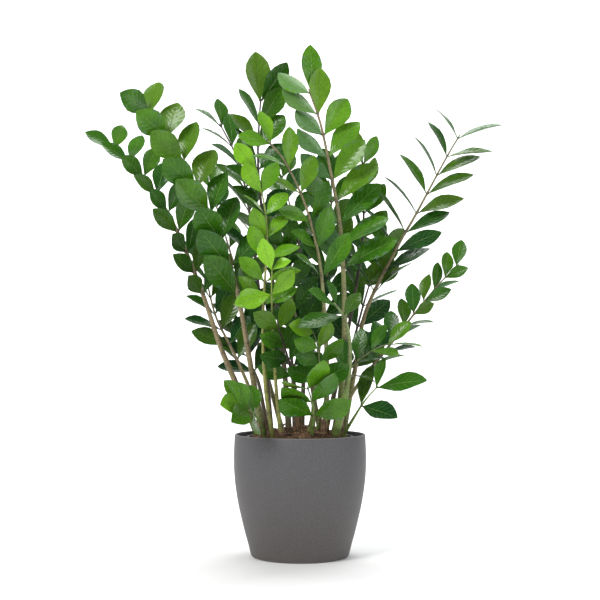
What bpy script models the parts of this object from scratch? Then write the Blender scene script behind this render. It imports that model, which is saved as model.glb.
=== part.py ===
"""A potted ZZ plant: an outer pot, a nursery pot, soil, buried rhizomes, bud sheaths and fronds.

Every frond is one body: a stalk with its leaflets grown out of its two sides. Lengths are in
metres unless a name says otherwise. The pot stands on z = 0, centred on the z axis.
"""

import math

import bpy
import numpy as np
from mathutils.bvhtree import BVHTree

MM = 0.001
CM = 0.01
UP = np.array((0.0, 0.0, 1.0))

# Pot profiles, as (radius, height) in millimetres, from the foot up the outside and down the inside.
OUTER_POT = (
    (89.5, 0), (92.7, 4), (98.0, 25), (103.2, 43), (110.6, 72), (116.7, 100), (121.6, 130),
    (124.4, 159), (125.0, 193), (123.6, 226), (122.4, 229), (120.9, 229), (119.6, 226),
    (120.9, 192), (117.5, 130), (106.6, 72), (95.5, 30), (85.0, 6),
)
NURSERY_POT = (
    (74.0, 6.5), (75.5, 9), (98.4, 212), (101.6, 213), (101.8, 223), (100.5, 224.5),
    (97.2, 224.5), (96.4, 213), (73.4, 9),
)
DRAIN_HOLES = 6
DRAIN_RADIUS = 6 * MM
DRAIN_CIRCLE = 50 * MM

SOIL_TOP_RADIUS = 95.9 * MM
SOIL_BOTTOM_RADIUS = 72.6 * MM
SOIL_BOTTOM = 9.4 * MM
SOIL_EDGE = 219 * MM
SOIL_MOUND = 21 * MM

# Rhizomes, as (x, y, half width, half depth) in centimetres.
RHIZOMES = {
    "rhizome_left": (-5.5, 0.2, 2.7, 4.2),
    "rhizome_right": (5.5, 0.2, 2.7, 4.2),
    "rhizome_back": (0.0, 5.0, 2.5, 2.4),
    "rhizome_front": (-0.3, -4.5, 2.4, 2.5),
}
RHIZOME_MIDDLE = 183 * MM
RHIZOME_HALF_HEIGHT = 20 * MM
BURIED_END = 205 * MM
PLAY = 0.5 * MM
STALK_PLAY = 0.9 * MM
HOLE_TO_RHIZOME = 8.0 * MM

# Fronds. For each: stalk radius at the soil in mm; share of the length that is bare; leaflet pairs;
# leaflet length and width in mm; where the upper side faces; then the left and the right row, each
# as opening at the first and last pair, lift, turn at the first and last pair in degrees, and size
# at the first and last pair; then the points of the stalk in centimetres.
FRONDS = {
    "left_arch": (7.2, 0.48, 9, 74, 38, (0.15, -0.95, 0.3),
                  (48, 34, 66, 0, 0, 0.82, 0.84), (36, 56, 12, 0, 0, 1.0, 0.84),
                  (-8.2, 0.5, 23), (-11, -1, 30), (-15, -2, 39.5), (-18.5, -3, 50), (-24, -3, 63),
                  (-30, -2, 72), (-36, 0, 77.5)),
    "left_front": (6.8, 0.44, 8, 92, 58, (0.1, -0.95, 0.25),
                   (28, 34, 48, 0, 0, 1.05, 0.78), (50, 42, 0, -48, -35, 1.0, 0.78),
                   (-6.9, -3.4, 23), (-9, -5, 35), (-11.5, -8, 49.5), (-13.8, -10, 57.5),
                   (-16.8, -12, 64.5), (-21.8, -13, 74), (-27.5, -14, 82)),
    "back_left_tall": (6.4, 0.56, 7, 86, 42, (0.3, -0.85, 0.35),
                       (40, 24, 10, -40, -30, 1.05, 0.8), (34, 22, 30, -10, 0, 1.0, 0.8),
                       (-5.6, 3.4, 23), (-7, 6, 39), (-9, 11, 58), (-11, 14, 71), (-13, 16, 78),
                       (-16.5, 18, 85)),
    "centre_left_tall": (6.4, 0.60, 7, 84, 49, (0.2, -0.9, 0.2),
                         (44, 14, 12, -55, 0, 0.92, 1.12), (46, 28, 12, -60, -15, 0.82, 1.02),
                         (-2.1, 2, 23), (-3, 3, 35), (-4.5, 3, 47.5), (-6.5, 2, 59), (-8, 1, 74),
                         (-7.5, 0, 87)),
    "centre_tall": (7.8, 0.50, 9, 100, 46, (0.1, -0.95, 0.2),
                    (46, 40, -42, 160, 175, 0.85, 0.8), (60, 26, 8, -48, 0, 1.12, 0.92),
                    (7.2, 0.2, 23), (8.3, -2, 39), (8.2, -3, 51), (7.5, -4, 62), (5.7, -5, 72),
                    (3.8, -5, 81), (1.6, -5, 87.5)),
    "centre_arch": (6.2, 0.54, 6, 84, 40, (0.2, -0.85, 0.4),
                    (46, 40, 16, -60, -15, 0.8, 0.8), (38, 40, 14, 0, 0, 1.08, 0.8),
                    (4.6, -3.9, 23), (5, -5.5, 35), (4.1, -6.7, 51), (2.8, -7.5, 59), (0.7, -9, 66),
                    (-2.7, -10, 73), (-6, -10.5, 77)),
    "right_mid_tall": (5.8, 0.55, 6, 84, 37, (0.2, -0.95, 0.2),
                       (36, 16, 12, -50, -15, 0.85, 0.95), (44, 22, 12, -20, 0, 1.05, 0.8),
                       (4.9, 4.5, 23), (9, 5, 41), (11.8, 6, 57), (12.5, 7, 67), (12.3, 8, 76)),
    "right_arch": (6.2, 0.46, 9, 118, 40, (-0.1, -0.98, 0.1),
                   (64, 50, 0, -68, -54, 1.05, 0.72), (22, 38, 0, -10, -52, 0.80, 0.80),
                   (8.3, 2.2, 23), (10.5, 2, 35), (12.6, 2.5, 46), (18.5, 4, 58), (22.5, 5, 65),
                   (28.5, 7, 76), (31.5, 8, 81)),
    "right_low_arch": (5.0, 0.42, 9, 66, 32, (-0.3, -0.85, 0.4),
                       (60, 24, 14, -30, 0, 1.0, 0.85), (38, 24, 8, -50, -30, 0.95, 0.85),
                       (6.6, -2.1, 23), (9.4, -3, 30), (13, -3, 35), (16.3, -3, 39), (21, -3, 45),
                       (26, -3, 51), (30, -3, 55)),
    "right_low_thin": (4.4, 0.58, 4, 72, 32, (-0.1, -0.7, 0.6),
                       (58, 30, 12, -30, -20, 1.0, 0.85), (44, 20, 12, -60, -45, 0.9, 0.9),
                       (3, -2, 23), (5.5, -3.8, 31), (10, -5.5, 36), (14, -6.5, 39), (17, -7.5, 40)),
    "right_bottom": (4.2, 0.62, 2, 116, 48, (0.0, -0.75, 0.6),
                     (40, 24, 12, -20, -30, 0.72, 0.55), (52, 22, 8, -50, -20, 0.82, 1.0),
                     (8.3, -3, 23), (10.2, -4.4, 26.5), (12, -6.5, 29.5), (14.5, -8.5, 32.5)),
    "bent_shoot": (8.6, 0.88, 2, 92, 40, (-0.2, -0.7, 0.6),
                   (62, 22, 0, -56, -20, 1.1, 0.9), (50, 34, 6, -45, -30, 0.6, 0.55),
                   (6.6, -4.9, 23), (8.3, -7, 30), (9.1, -8.7, 37), (8.8, -10, 42), (7.8, -11.5, 45),
                   (6, -13.5, 47.3)),
    "lime_tall": (4.8, 0.52, 7, 66, 34, (0.1, -0.95, 0.2),
                  (42, 22, 16, -15, 0, 1.0, 1.0), (66, 30, 10, -60, -10, 1.0, 0.9),
                  (-5.1, -6, 23), (-6.2, -7.5, 31), (-6.7, -9, 39), (-6.6, -10.5, 48), (-6, -11.5, 57),
                  (-6.3, -12, 64), (-8, -12, 72)),
    "lime_short": (4.8, 0.84, 2, 72, 40, (0.1, -0.9, 0.3),
                   (78, 12, 8, -48, 0, 1.15, 0.85), (40, 50, 14, 0, -60, 0.85, 0.5),
                   (-3.5, -6.5, 23), (-4.3, -8.2, 31), (-4.8, -10, 40), (-5.1, -12, 48),
                   (-5.0, -14, 54)),
    "left_bottom": (4.0, 0.58, 3, 84, 50, (0.05, -0.75, 0.6),
                    (50, 28, 14, 0, -10, 1.05, 0.72), (56, 30, 14, -60, -40, 0.62, 0.6),
                    (-6.6, -5.0, 23), (-7.7, -7.5, 26), (-9.2, -10.5, 28), (-11.6, -13, 29.5)),
    "centre_bottom": (4.2, 0.48, 3, 82, 54, (0.0, -0.95, 0.3),
                      (52, 30, 16, 0, 0, 1.05, 0.8), (58, 34, 16, 0, -10, 0.95, 0.85),
                      (2.2, -6.6, 23), (2.4, -8.8, 27), (2.0, -11.2, 30), (1.2, -13.5, 32.5)),
    "centre_thin": (5.6, 0.56, 4, 72, 40, (0.0, -0.85, 0.4),
                    (56, 28, 16, -10, 0, 1.0, 0.85), (56, 30, 16, -30, 0, 1.0, 0.85),
                    (-0.2, -2.6, 23), (-0.8, -5, 31), (-2, -7.3, 36.5), (-3.2, -9.5, 40.5),
                    (-4, -11, 43.5)),
    "centre_right_thin": (4.4, 0.56, 4, 68, 40, (0.1, -0.85, 0.4),
                          (56, 28, 16, -20, 0, 1.0, 0.85), (52, 30, 16, 0, 0, 1.0, 0.85),
                          (1.6, -4.4, 23), (3, -7, 31), (3.5, -9, 36), (3.2, -11, 39.5),
                          (2.2, -13, 42.5)),
    "centre_brown": (5.4, 0.50, 6, 80, 42, (0.1, -0.9, 0.3),
                     (46, 26, 18, -10, 0, 1.0, 0.8), (48, 28, 18, -30, 0, 1.0, 0.85),
                     (3.8, 1, 23), (2.2, -0.5, 32), (0.2, -2.5, 41), (-1.4, -4, 47.5), (-2.5, -5, 53),
                     (-3.4, -5.5, 58)),
    "back_dark": (5.4, 0.46, 7, 84, 42, (0.0, -0.6, 0.6),
                  (50, 26, 18, -10, 0, 1.0, 0.85), (50, 26, 18, 0, 0, 1.0, 0.85),
                  (0.4, 6, 23), (0.8, 10, 43), (0, 15, 58), (-1.5, 18, 66), (-4, 22, 75)),
    "left_low": (5.0, 0.46, 7, 74, 37, (0.2, -0.9, 0.35),
                 (50, 30, 12, -30, -20, 1.0, 0.85), (48, 28, 16, -10, -10, 1.0, 0.85),
                 (-7.3, -1.5, 23), (-8.6, -1.5, 29), (-11.2, -1.5, 35.5), (-13.5, 0, 40),
                 (-16, 1, 45), (-17.5, 2, 50.5), (-18.5, 3, 56)),
    "left_low_dark": (5.0, 0.42, 7, 72, 37, (0.1, -0.9, 0.35),
                      (50, 28, 14, -40, -20, 1.0, 0.85), (50, 28, 16, -20, -10, 1.0, 0.85),
                      (-6.2, 1.2, 23), (-7.8, 2, 32), (-9.9, 3, 37), (-11, 4, 43), (-12, 5, 49),
                      (-13, 6, 54)),
    "centre_back": (5.8, 0.46, 7, 86, 42, (0.2, -0.6, 0.6),
                    (48, 26, 18, -10, 0, 1.0, 0.85), (48, 26, 18, -20, 0, 1.0, 0.85),
                    (2.3, 4.3, 23), (3.7, 8, 39), (5.3, 12, 53), (6.2, 14.5, 63), (6.4, 17, 74)),
    "right_back": (5.0, 0.36, 7, 84, 42, (0.1, -0.9, 0.35),
                   (50, 26, 14, -20, 0, 1.0, 0.85), (50, 28, 14, -40, -10, 1.0, 0.85),
                   (6.4, 3.2, 23), (9, 5, 35), (12, 8, 46), (14.5, 11, 54), (16.5, 13, 60)),
    "left_back": (5.4, 0.48, 7, 78, 40, (0.3, -0.5, 0.7),
                  (48, 26, 16, -40, -20, 1.0, 0.85), (48, 26, 16, -10, 0, 1.0, 0.85),
                  (-3.4, 5.4, 23), (-6.8, 8, 35), (-10.4, 12, 47), (-14, 16, 58), (-16.5, 19, 66),
                  (-19, 22, 73)),
    "centre_back_low": (5.0, 0.36, 7, 78, 42, (0.1, -0.6, 0.7),
                        (50, 28, 16, -10, 0, 1.0, 0.85), (50, 28, 16, -10, 0, 1.0, 0.85),
                        (-1, 4.2, 23), (-1.5, 8.5, 35), (-2.2, 14, 45), (-2, 18, 54), (-1, 22, 61)),
}

# Sheaths left round the foot of some stalks, as height above the soil in millimetres and slit angle.
SHEATHS = {
    "centre_tall": (42, 250),
    "centre_arch": (26, 80),
    "left_front": (30, 300),
    "bent_shoot": (9, 200),
    "centre_thin": (42, 120),
    "lime_short": (16, 30),
    "right_low_arch": (24, 330),
}
SHEATH_SUNK = 9 * MM
SHEATH_WALL = 1.0 * MM
SHEATH_PLAY = 1.0 * MM

SIDES = 6
STALK_RINGS = 5
NODE_LENGTH = 4.5 * MM
END_LENGTH = 9 * MM
LEAF_RINGS = (0.24, 0.52, 0.8)
HALF_BLADE = 0.6 * MM
LEAF_MARGIN = 1.6 * MM
STALK_MARGIN = 1.4 * MM


def clear_scene():
    """Removes every object that the file starts with."""
    for obj in list(bpy.data.objects):
        bpy.data.objects.remove(obj, do_unlink=True)


def material(name, colour, roughness):
    """One plain material in linear colour."""
    made = bpy.data.materials.new(name)
    made.use_nodes = True
    shader = made.node_tree.nodes["Principled BSDF"]
    shader.inputs["Base Color"].default_value = (*colour, 1.0)
    shader.inputs["Roughness"].default_value = roughness
    return made


def add_object(name, points, faces, surface=None):
    """A mesh object at the origin."""
    mesh = bpy.data.meshes.new(name)
    mesh.from_pydata([tuple(p) for p in points], [], faces)
    mesh.update()
    obj = bpy.data.objects.new(name, mesh)
    bpy.context.scene.collection.objects.link(obj)
    if surface:
        mesh.materials.append(surface)
    return obj


def cut(target, cutter):
    """Takes the cutter's shape out of the target."""
    cutter.hide_render = True
    cutter.display_type = "WIRE"
    step = target.modifiers.new("cut_" + cutter.name, "BOOLEAN")
    step.operation = "DIFFERENCE"
    step.solver = "EXACT"
    step.object = cutter


def lathe(profile, segments):
    """Points and faces of a closed profile of (radius, height) turned about the z axis."""
    turn = np.arange(segments) * 2 * math.pi / segments
    points = [(r * math.cos(a), r * math.sin(a), z) for r, z in profile for a in turn]
    faces = []
    for i in range(len(profile) - 1):
        low, high = i * segments, (i + 1) * segments
        for j in range(segments):
            k = (j + 1) % segments
            faces.append((low + j, low + k, high + k, high + j))
    faces.append(tuple(range(segments))[::-1])
    faces.append(tuple(range((len(profile) - 1) * segments, len(profile) * segments)))
    return points, faces


def scaled(profile):
    return [(r * MM, z * MM) for r, z in profile]


def tube(rings):
    """Points and faces of a closed tube through rings of equally many points."""
    count = len(rings[0])
    points = [p for ring in rings for p in ring]
    faces = [tuple(range(count))[::-1]]
    for i in range(len(rings) - 1):
        low, high = i * count, (i + 1) * count
        for j in range(count):
            k = (j + 1) % count
            faces.append((low + j, low + k, high + k, high + j))
    faces.append(tuple(range((len(rings) - 1) * count, len(rings) * count)))
    return points, faces


# Changes tried in order on a leaflet that would touch something: turn, lift, opening, size.
CHANGES = (
    (0, 0, 0, 1.0), (24, 0, 0, 1.0), (-24, 0, 0, 1.0), (0, 14, 0, 1.0), (0, -14, 0, 1.0),
    (0, 0, 12, 1.0), (0, 0, -12, 1.0), (20, 16, 0, 0.95), (-20, -16, 0, 0.95),
    (45, 0, 0, 0.95), (-45, 0, 0, 0.95), (0, 28, 8, 0.9), (0, -28, 8, 0.9),
    (30, 20, 14, 0.85), (-30, 20, -10, 0.85), (30, -20, 14, 0.85), (-30, -20, -10, 0.85),
    (0, 40, 0, 0.8), (0, -40, 0, 0.8), (60, 10, 10, 0.75), (-60, -10, 10, 0.75),
    (0, 0, 0, 0.65), (40, 30, 0, 0.65), (-40, -30, 0, 0.65), (0, 55, 10, 0.6),
)
# Sideways shifts tried in order, in centimetres, on a stalk that would touch an earlier one.
SHIFTS = ((0, 0), (0, 1), (0, -1), (1, 0), (-1, 0), (0, 2), (0, -2), (1, 2), (-1, -2), (0, 3), (0, -3))


def unit(vector):
    return vector / np.linalg.norm(vector)


def square_to(vector, axis):
    """The unit part of a vector at right angles to a unit axis."""
    return unit(vector - np.dot(vector, axis) * axis)


def smooth_line(points, count=200):
    """Evenly spaced points on a Catmull-Rom curve through the given points, and its length."""
    p = np.vstack([2 * points[0] - points[1], points, 2 * points[-1] - points[-2]])
    u = np.linspace(0, len(points) - 1 - 1e-9, count * 4)
    i = u.astype(int)
    f = (u - i)[:, None]
    a, b, c, d = p[i], p[i + 1], p[i + 2], p[i + 3]
    curve = 0.5 * (2 * b + (c - a) * f + (2 * a - 5 * b + 4 * c - d) * f**2 + (3 * b - a - 3 * c + d) * f**3)
    run = np.concatenate([[0], np.cumsum(np.linalg.norm(np.diff(curve, axis=0), axis=1))])
    even = np.linspace(0, run[-1], count)
    return np.stack([np.interp(even, run, curve[:, k]) for k in range(3)], axis=1), run[-1]


def rhizome_top(x, y):
    """Height of the rhizome under a point, or 0 where there is none or only its steep edge."""
    for cx, cy, half_x, half_y in RHIZOMES.values():
        inside = 1 - ((x - cx * CM) / (half_x * CM)) ** 2 - ((y - cy * CM) / (half_y * CM)) ** 2
        if inside > 0.2:
            return RHIZOME_MIDDLE + RHIZOME_HALF_HEIGHT * math.sqrt(inside)
    return 0.0


class Stalk:
    """The line of a stalk, with its radius, its upper side and its right side along it."""

    def __init__(self, radius, facing, points, shift):
        path = np.array(points, float) * CM
        lean = np.sin(np.linspace(0, math.pi * 0.75, len(path)))
        path[:, 0] += shift[0] * CM * lean
        path[:, 1] += shift[1] * CM * lean
        foot = path[0].copy()
        foot[:2] -= 0.15 * (path[1] - path[0])[:2]
        reach = 1.2 * radius * MM
        around = ((0, 0), (reach, 0), (-reach, 0), (0, reach), (0, -reach))
        top = max(rhizome_top(foot[0] + dx, foot[1] + dy) for dx, dy in around)
        foot[2] = top + 1.8 * MM if rhizome_top(foot[0], foot[1]) else max(BURIED_END, top + 1.8 * MM)
        self.line, self.length = smooth_line(np.vstack([foot, path]))
        self.along = np.linspace(0, 1, len(self.line))
        self.slope = np.gradient(self.line, axis=0)
        self.radius_at_foot = radius * MM
        self.facing = np.array(facing, float)

    def at(self, s):
        """Point, direction, upper side and right side at a share s of the length."""
        point = np.array([np.interp(s, self.along, self.line[:, k]) for k in range(3)])
        ahead = unit(np.array([np.interp(s, self.along, self.slope[:, k]) for k in range(3)]))
        upper = square_to(self.facing, ahead)
        return point, ahead, upper, np.cross(ahead, upper)

    def radius(self, s):
        """Thick and a little swollen at the foot, thin at the end."""
        foot = self.radius_at_foot
        end = 0.26 * foot
        swell = 0.14 * foot * np.exp(-s * self.length / 0.05)
        return end + (foot - end) * (1 - s) ** 1.25 + swell

    def height_share(self, z):
        """The share of the length at which the line first passes a height."""
        return float(self.along[int(np.argmax(self.line[:, 2] >= z))])

    def ring(self, s, grown=0.0, sides=6):
        point, _, upper, side = self.at(s)
        turn = (np.arange(sides) - 0.5) * 2 * math.pi / sides
        radius = self.radius(s) + grown
        return [point + radius * (math.cos(a) * side - math.sin(a) * upper) for a in turn]


def blade_width(t):
    """Half width of a blade at a share t of its length, as a share of its greatest half width."""
    return np.sin(math.pi * np.clip(t, 0, 1) ** 1.2).clip(0) ** 0.92


class Leaflet:
    """One blade: its foot, direction D, across B and normal N, with its size, curl and fold."""

    def __init__(self, stalk, frond, share, side, place, chance, change):
        length, width = frond[3], frond[4]
        row = frond[6 if side < 0 else 7]
        open_first, open_last, lift, turn_first, turn_last, size_first, size_last = row
        more_turn, more_lift, more_open, size = change
        point, ahead, upper, right = stalk.at(place)
        angle = math.radians(open_first + (open_last - open_first) * share + 10 * chance[0] + more_open)
        raised = math.radians(lift + 13 * chance[1] + more_lift)
        out = side * right * math.cos(raised) + upper * math.sin(raised)
        self.D = unit(math.cos(angle) * ahead + math.sin(angle) * out)
        flat = square_to(upper, self.D)
        turn = turn_first + (turn_last - turn_first) * share + 16 * chance[2]
        twist = math.radians(side * turn + more_turn)
        self.N = math.cos(twist) * flat + math.sin(twist) * np.cross(self.D, flat)
        self.B = np.cross(self.N, self.D)
        grown = (size_first + (size_last - size_first) * share) * size
        self.length = length * MM * grown * (1 + 0.08 * chance[3])
        self.width = 0.5 * width * MM * (0.3 + 0.7 * grown) * (1 + 0.08 * chance[4])
        self.curl = 0.11 + 0.08 * chance[5]
        self.fold = math.radians(14 + 7 * chance[6])
        self.foot = point + side * right * stalk.radius(place) * 0.8

    def middle(self, t):
        """The midrib: straight along D, bent down from N and from the sky with the square of t."""
        t = np.asarray(t, float)[..., None]
        bend = self.N * self.curl + UP * 0.04
        return self.foot + self.length * (self.D * t - bend * t * t)

    def ring(self, t, wider=0.0, thicker=0.0):
        """Right edge, top of the midrib, left edge, underside of the midrib."""
        middle = self.middle(t)
        width = self.width * blade_width(t) + wider
        across = self.B * width * math.cos(self.fold)
        rise = self.N * width * math.sin(self.fold)
        thick = self.N * (HALF_BLADE * (1 - 0.5 * t) + thicker)
        return [middle + across + rise, middle + thick, middle - across + rise, middle - thick]

    def guard(self):
        """A thicker and wider blade, which has to stay clear of everything else."""
        rings = [self.ring(t, LEAF_MARGIN * 0.8, LEAF_MARGIN) for t in (0.16, 0.3, 0.5, 0.7, 0.88)]
        rings.append([self.middle(1.0) + offset * 0.8 * MM for offset in (self.B, self.N, -self.B, -self.N)])
        return tube(rings)


class Room:
    """The solids placed so far, which a new one may not touch."""

    def __init__(self):
        self.lows = []
        self.highs = []
        self.trees = []

    def is_clear(self, points, tree):
        if not self.trees:
            return True
        low, high = np.min(points, axis=0), np.max(points, axis=0)
        near = (np.array(self.lows) <= high).all(axis=1) & (np.array(self.highs) >= low).all(axis=1)
        return not any(self.trees[i].overlap(tree) for i in np.flatnonzero(near))

    def place(self, points, faces):
        """Adds the solid if it touches nothing, and says whether it did."""
        tree = BVHTree.FromPolygons([tuple(p) for p in points], faces)
        if not self.is_clear(points, tree):
            return False
        self.lows.append(np.min(points, axis=0))
        self.highs.append(np.max(points, axis=0))
        self.trees.append(tree)
        return True


def leaf_places(stalk, bare, pairs):
    """The shares of the stalk's length at which its leaflet pairs sit."""
    return np.linspace(bare, 1 - END_LENGTH / stalk.length, pairs)


def grow_stalks(room):
    """Every stalk, shifted sideways where it would touch an earlier one."""
    stalks = {}
    for name, frond in FRONDS.items():
        for shift in SHIFTS:
            stalk = Stalk(frond[0], frond[5], frond[8:], shift)
            rings = [stalk.ring(s, STALK_MARGIN) for s in np.linspace(0, 1, 24)]
            if room.place(*tube(rings)):
                break
        else:
            raise RuntimeError("no room for the stalk " + name)
        stalks[name] = stalk
    return stalks


def grow_leaflets(room, stalks):
    """For every frond, the places of its pairs and the leaflets that fit, as (pair, side, leaflet)."""
    grown = {}
    for number, (name, frond) in enumerate(FRONDS.items()):
        rng = np.random.default_rng(1000 + number)
        pairs = frond[2]
        places = leaf_places(stalks[name], frond[1], pairs)
        leaflets = []
        for pair in range(pairs):
            for side in (-1, 1):
                chance = rng.uniform(-1, 1, 7)
                share = pair / (pairs - 1)
                for change in CHANGES:
                    leaflet = Leaflet(stalks[name], frond, share, side, places[pair], chance, change)
                    if room.place(*leaflet.guard()):
                        leaflets.append((pair, side, leaflet))
                        break
        grown[name] = (places, leaflets)
    return grown


def grow_plant():
    """The stalks and leaflets of the whole plant, clear of the pot and of one another."""
    room = Room()
    points, faces = lathe([(0.092, 0), (0.1275, 0.15), (0.128, 0.2315), (0.118, 0.2315)], 48)
    room.place(points, faces[:-2])
    stalks = grow_stalks(room)
    return stalks, grow_leaflets(room, stalks)


def ring_shares(stalk, bare, places):
    """Where the rings of a stalk sit: a few on the bare part, then two at every leaflet pair."""
    half = 0.5 * NODE_LENGTH / stalk.length
    shares = list(np.linspace(0, bare, STALK_RINGS + 1)[:-1])
    for place in places:
        shares += [place - half, place + half]
    return shares


def stalk_hole(stalk, shares):
    """A cutter that follows the faces of a stalk from just under its foot to above the soil."""
    last = next(i for i, s in enumerate(shares) if stalk.at(s)[0][2] > SOIL_EDGE + 2 * SOIL_MOUND)
    rings = [stalk.ring(s, STALK_PLAY) for s in shares[: last + 1]]
    foot, ahead = stalk.at(0.0)[:2]
    under = HOLE_TO_RHIZOME if rhizome_top(foot[0], foot[1]) else PLAY
    return tube([[p - ahead * under for p in rings[0]]] + rings)


def frond_solid(stalk, bare, places, leaflets):
    """Points and faces of a stalk with its leaflets grown out of the quads on its two sides."""
    shares = ring_shares(stalk, bare, places)
    first_node = STALK_RINGS
    points = [p for s in shares for p in stalk.ring(s)]
    taken = {(first_node + 2 * pair, 0 if side > 0 else SIDES // 2): leaflet
             for pair, side, leaflet in leaflets}
    faces = [tuple(range(SIDES))[::-1]]
    for i in range(len(shares) - 1):
        for j in range(SIDES):
            k = (j + 1) % SIDES
            low, high = i * SIDES, (i + 1) * SIDES
            quad = (low + j, low + k, high + k, high + j)
            if (i, j) in taken:
                add_blade(points, faces, quad, taken[(i, j)])
            else:
                faces.append(quad)
    tip = len(points)
    points.append(stalk.at(1.0)[0])
    start = (len(shares) - 1) * SIDES
    faces += [(start + j, start + (j + 1) % SIDES, tip) for j in range(SIDES)]
    return points, faces


def add_blade(points, faces, quad, leaflet):
    """Grows a blade out of one quad of the stalk."""
    ring = leaflet.ring(LEAF_RINGS[0])
    gap = [sum(np.linalg.norm(points[quad[j]] - ring[(j + o) % 4]) for j in range(4)) for o in range(4)]
    offset = int(np.argmin(gap))
    below = list(quad)
    for t in LEAF_RINGS:
        ring = leaflet.ring(t)
        first = len(points)
        points += [ring[(j + offset) % 4] for j in range(4)]
        above = [first + j for j in range(4)]
        faces += [(below[j], below[(j + 1) % 4], above[(j + 1) % 4], above[j]) for j in range(4)]
        below = above
    tip = len(points)
    points.append(leaflet.middle(1.0))
    faces += [(below[j], below[(j + 1) % 4], tip) for j in range(4)]


def make_pots():
    """The outer pot, and the nursery pot with drain holes that stands inside it."""
    plastic = material("outer_pot_plastic", (0.13, 0.127, 0.13), 0.55)
    add_object("outer_pot", *lathe(scaled(OUTER_POT), 48), plastic)
    thin = material("nursery_pot_plastic", (0.02, 0.02, 0.022), 0.5)
    pot = add_object("nursery_pot", *lathe(scaled(NURSERY_POT), 36), thin)
    for i in range(DRAIN_HOLES):
        turn = 2 * math.pi * (i + 0.5) / DRAIN_HOLES
        x, y = DRAIN_CIRCLE * math.cos(turn), DRAIN_CIRCLE * math.sin(turn)
        points, faces = lathe([(DRAIN_RADIUS, 0.002), (DRAIN_RADIUS, 0.014)], 10)
        cut(pot, add_object(f"drain_cutter_{i}", [(px + x, py + y, pz) for px, py, pz in points], faces))


def soil_height(x, y):
    """A low mound with a lumpy surface."""
    share = min(1.0, math.hypot(x, y) / SOIL_TOP_RADIUS)
    lumps = math.sin(61 * x + 17 * y) + math.sin(83 * y - 29 * x + 1.0) + math.sin(140 * x * 0.7 + 95 * y)
    return SOIL_EDGE + SOIL_MOUND * (1 - share**2) + 0.9 * MM * lumps * (1 - share**4)


def make_soil(segments=36):
    """The root ball, filling the nursery pot and mounded at the top."""
    turn = np.arange(segments) * 2 * math.pi / segments
    points = []
    for radius, z in ((SOIL_BOTTOM_RADIUS, SOIL_BOTTOM), (SOIL_TOP_RADIUS, SOIL_EDGE - 6 * MM)):
        points += [(radius * math.cos(a), radius * math.sin(a), z) for a in turn]
    for share in (1.0, 0.9, 0.7, 0.45, 0.2):
        radius = share * SOIL_TOP_RADIUS
        for a in turn:
            x, y = radius * math.cos(a), radius * math.sin(a)
            points.append((x, y, soil_height(x, y)))
    rings = len(points) // segments
    faces = [tuple(range(segments))[::-1]]
    for i in range(rings - 1):
        low, high = i * segments, (i + 1) * segments
        for j in range(segments):
            k = (j + 1) % segments
            faces.append((low + j, low + k, high + k, high + j))
    centre = len(points)
    points.append((0.0, 0.0, soil_height(0.0, 0.0)))
    start = (rings - 1) * segments
    faces += [(start + j, start + (j + 1) % segments, centre) for j in range(segments)]
    return add_object("soil", points, faces, material("soil_crumb", (0.19, 0.115, 0.07), 0.95))


def rhizome_solid(spec, grown=0.0, around=12, rows=7):
    """A lumpy ellipsoid, as points and faces."""
    cx, cy, half_x, half_y = spec
    points = [(cx * CM, cy * CM, RHIZOME_MIDDLE - RHIZOME_HALF_HEIGHT - grown)]
    for i in range(1, rows):
        tilt = -math.pi / 2 + math.pi * i / rows
        for j in range(around):
            a = 2 * math.pi * j / around
            knob = (0.97 + 0.03 * math.cos(3 * a + cx)) * math.cos(tilt)
            x = cx * CM + (half_x * CM * knob + grown * math.cos(tilt)) * math.cos(a)
            y = cy * CM + (half_y * CM * knob + grown * math.cos(tilt)) * math.sin(a)
            points.append((x, y, RHIZOME_MIDDLE + (RHIZOME_HALF_HEIGHT + grown) * math.sin(tilt)))
    points.append((cx * CM, cy * CM, RHIZOME_MIDDLE + RHIZOME_HALF_HEIGHT + grown))
    faces = [(0, 1 + (j + 1) % around, 1 + j) for j in range(around)]
    for i in range(rows - 2):
        low, high = 1 + i * around, 1 + (i + 1) * around
        for j in range(around):
            k = (j + 1) % around
            faces.append((low + j, low + k, high + k, high + j))
    top, last = len(points) - 1, 1 + (rows - 2) * around
    faces += [(last + j, last + (j + 1) % around, top) for j in range(around)]
    return points, faces


def make_rhizomes(soil):
    skin = material("rhizome_skin", (0.45, 0.30, 0.16), 0.7)
    for name, spec in RHIZOMES.items():
        add_object(name, *rhizome_solid(spec), skin)
        cut(soil, add_object(name + "_cutter", *rhizome_solid(spec, PLAY)))


def straight_between(stalk, shares, s):
    """Centre and radius at s of the straight-sided solid that runs between the stalk's rings."""
    i = max(0, min(len(shares) - 2, int(np.searchsorted(shares, s)) - 1))
    low, high = shares[i], shares[i + 1]
    f = (s - low) / (high - low)
    centre = stalk.at(low)[0] * (1 - f) + stalk.at(high)[0] * f
    return centre, stalk.radius(low) * (1 - f) + stalk.radius(high) * f


def sheath_solid(stalk, shares, tall, slit):
    """A thin sleeve, open along a slit, round the foot of a stalk."""
    start = stalk.height_share(stalk_soil_height(stalk) - SHEATH_SUNK)
    end = stalk.height_share(stalk_soil_height(stalk) + tall * MM)
    turn = np.radians(slit + np.linspace(16, 344, 10))
    rings = []
    for row, share in enumerate((0.0, 0.5, 1.0)):
        inner, outer = [], []
        for a in turn:
            s = start + (end - start) * share * (1 - 0.16 * share * math.cos(2.5 * a))
            _, _, upper, side = stalk.at(s)
            out = math.cos(a) * side - math.sin(a) * upper
            point, radius = straight_between(stalk, shares, s)
            radius += SHEATH_PLAY + (0.0, 0.6 * MM, 1.0 * MM)[row]
            inner.append(point + out * radius)
            outer.append(point + out * (radius + SHEATH_WALL * (1 - 0.4 * share)))
        rings.append(outer + inner[::-1])
    return tube(rings)


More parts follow.
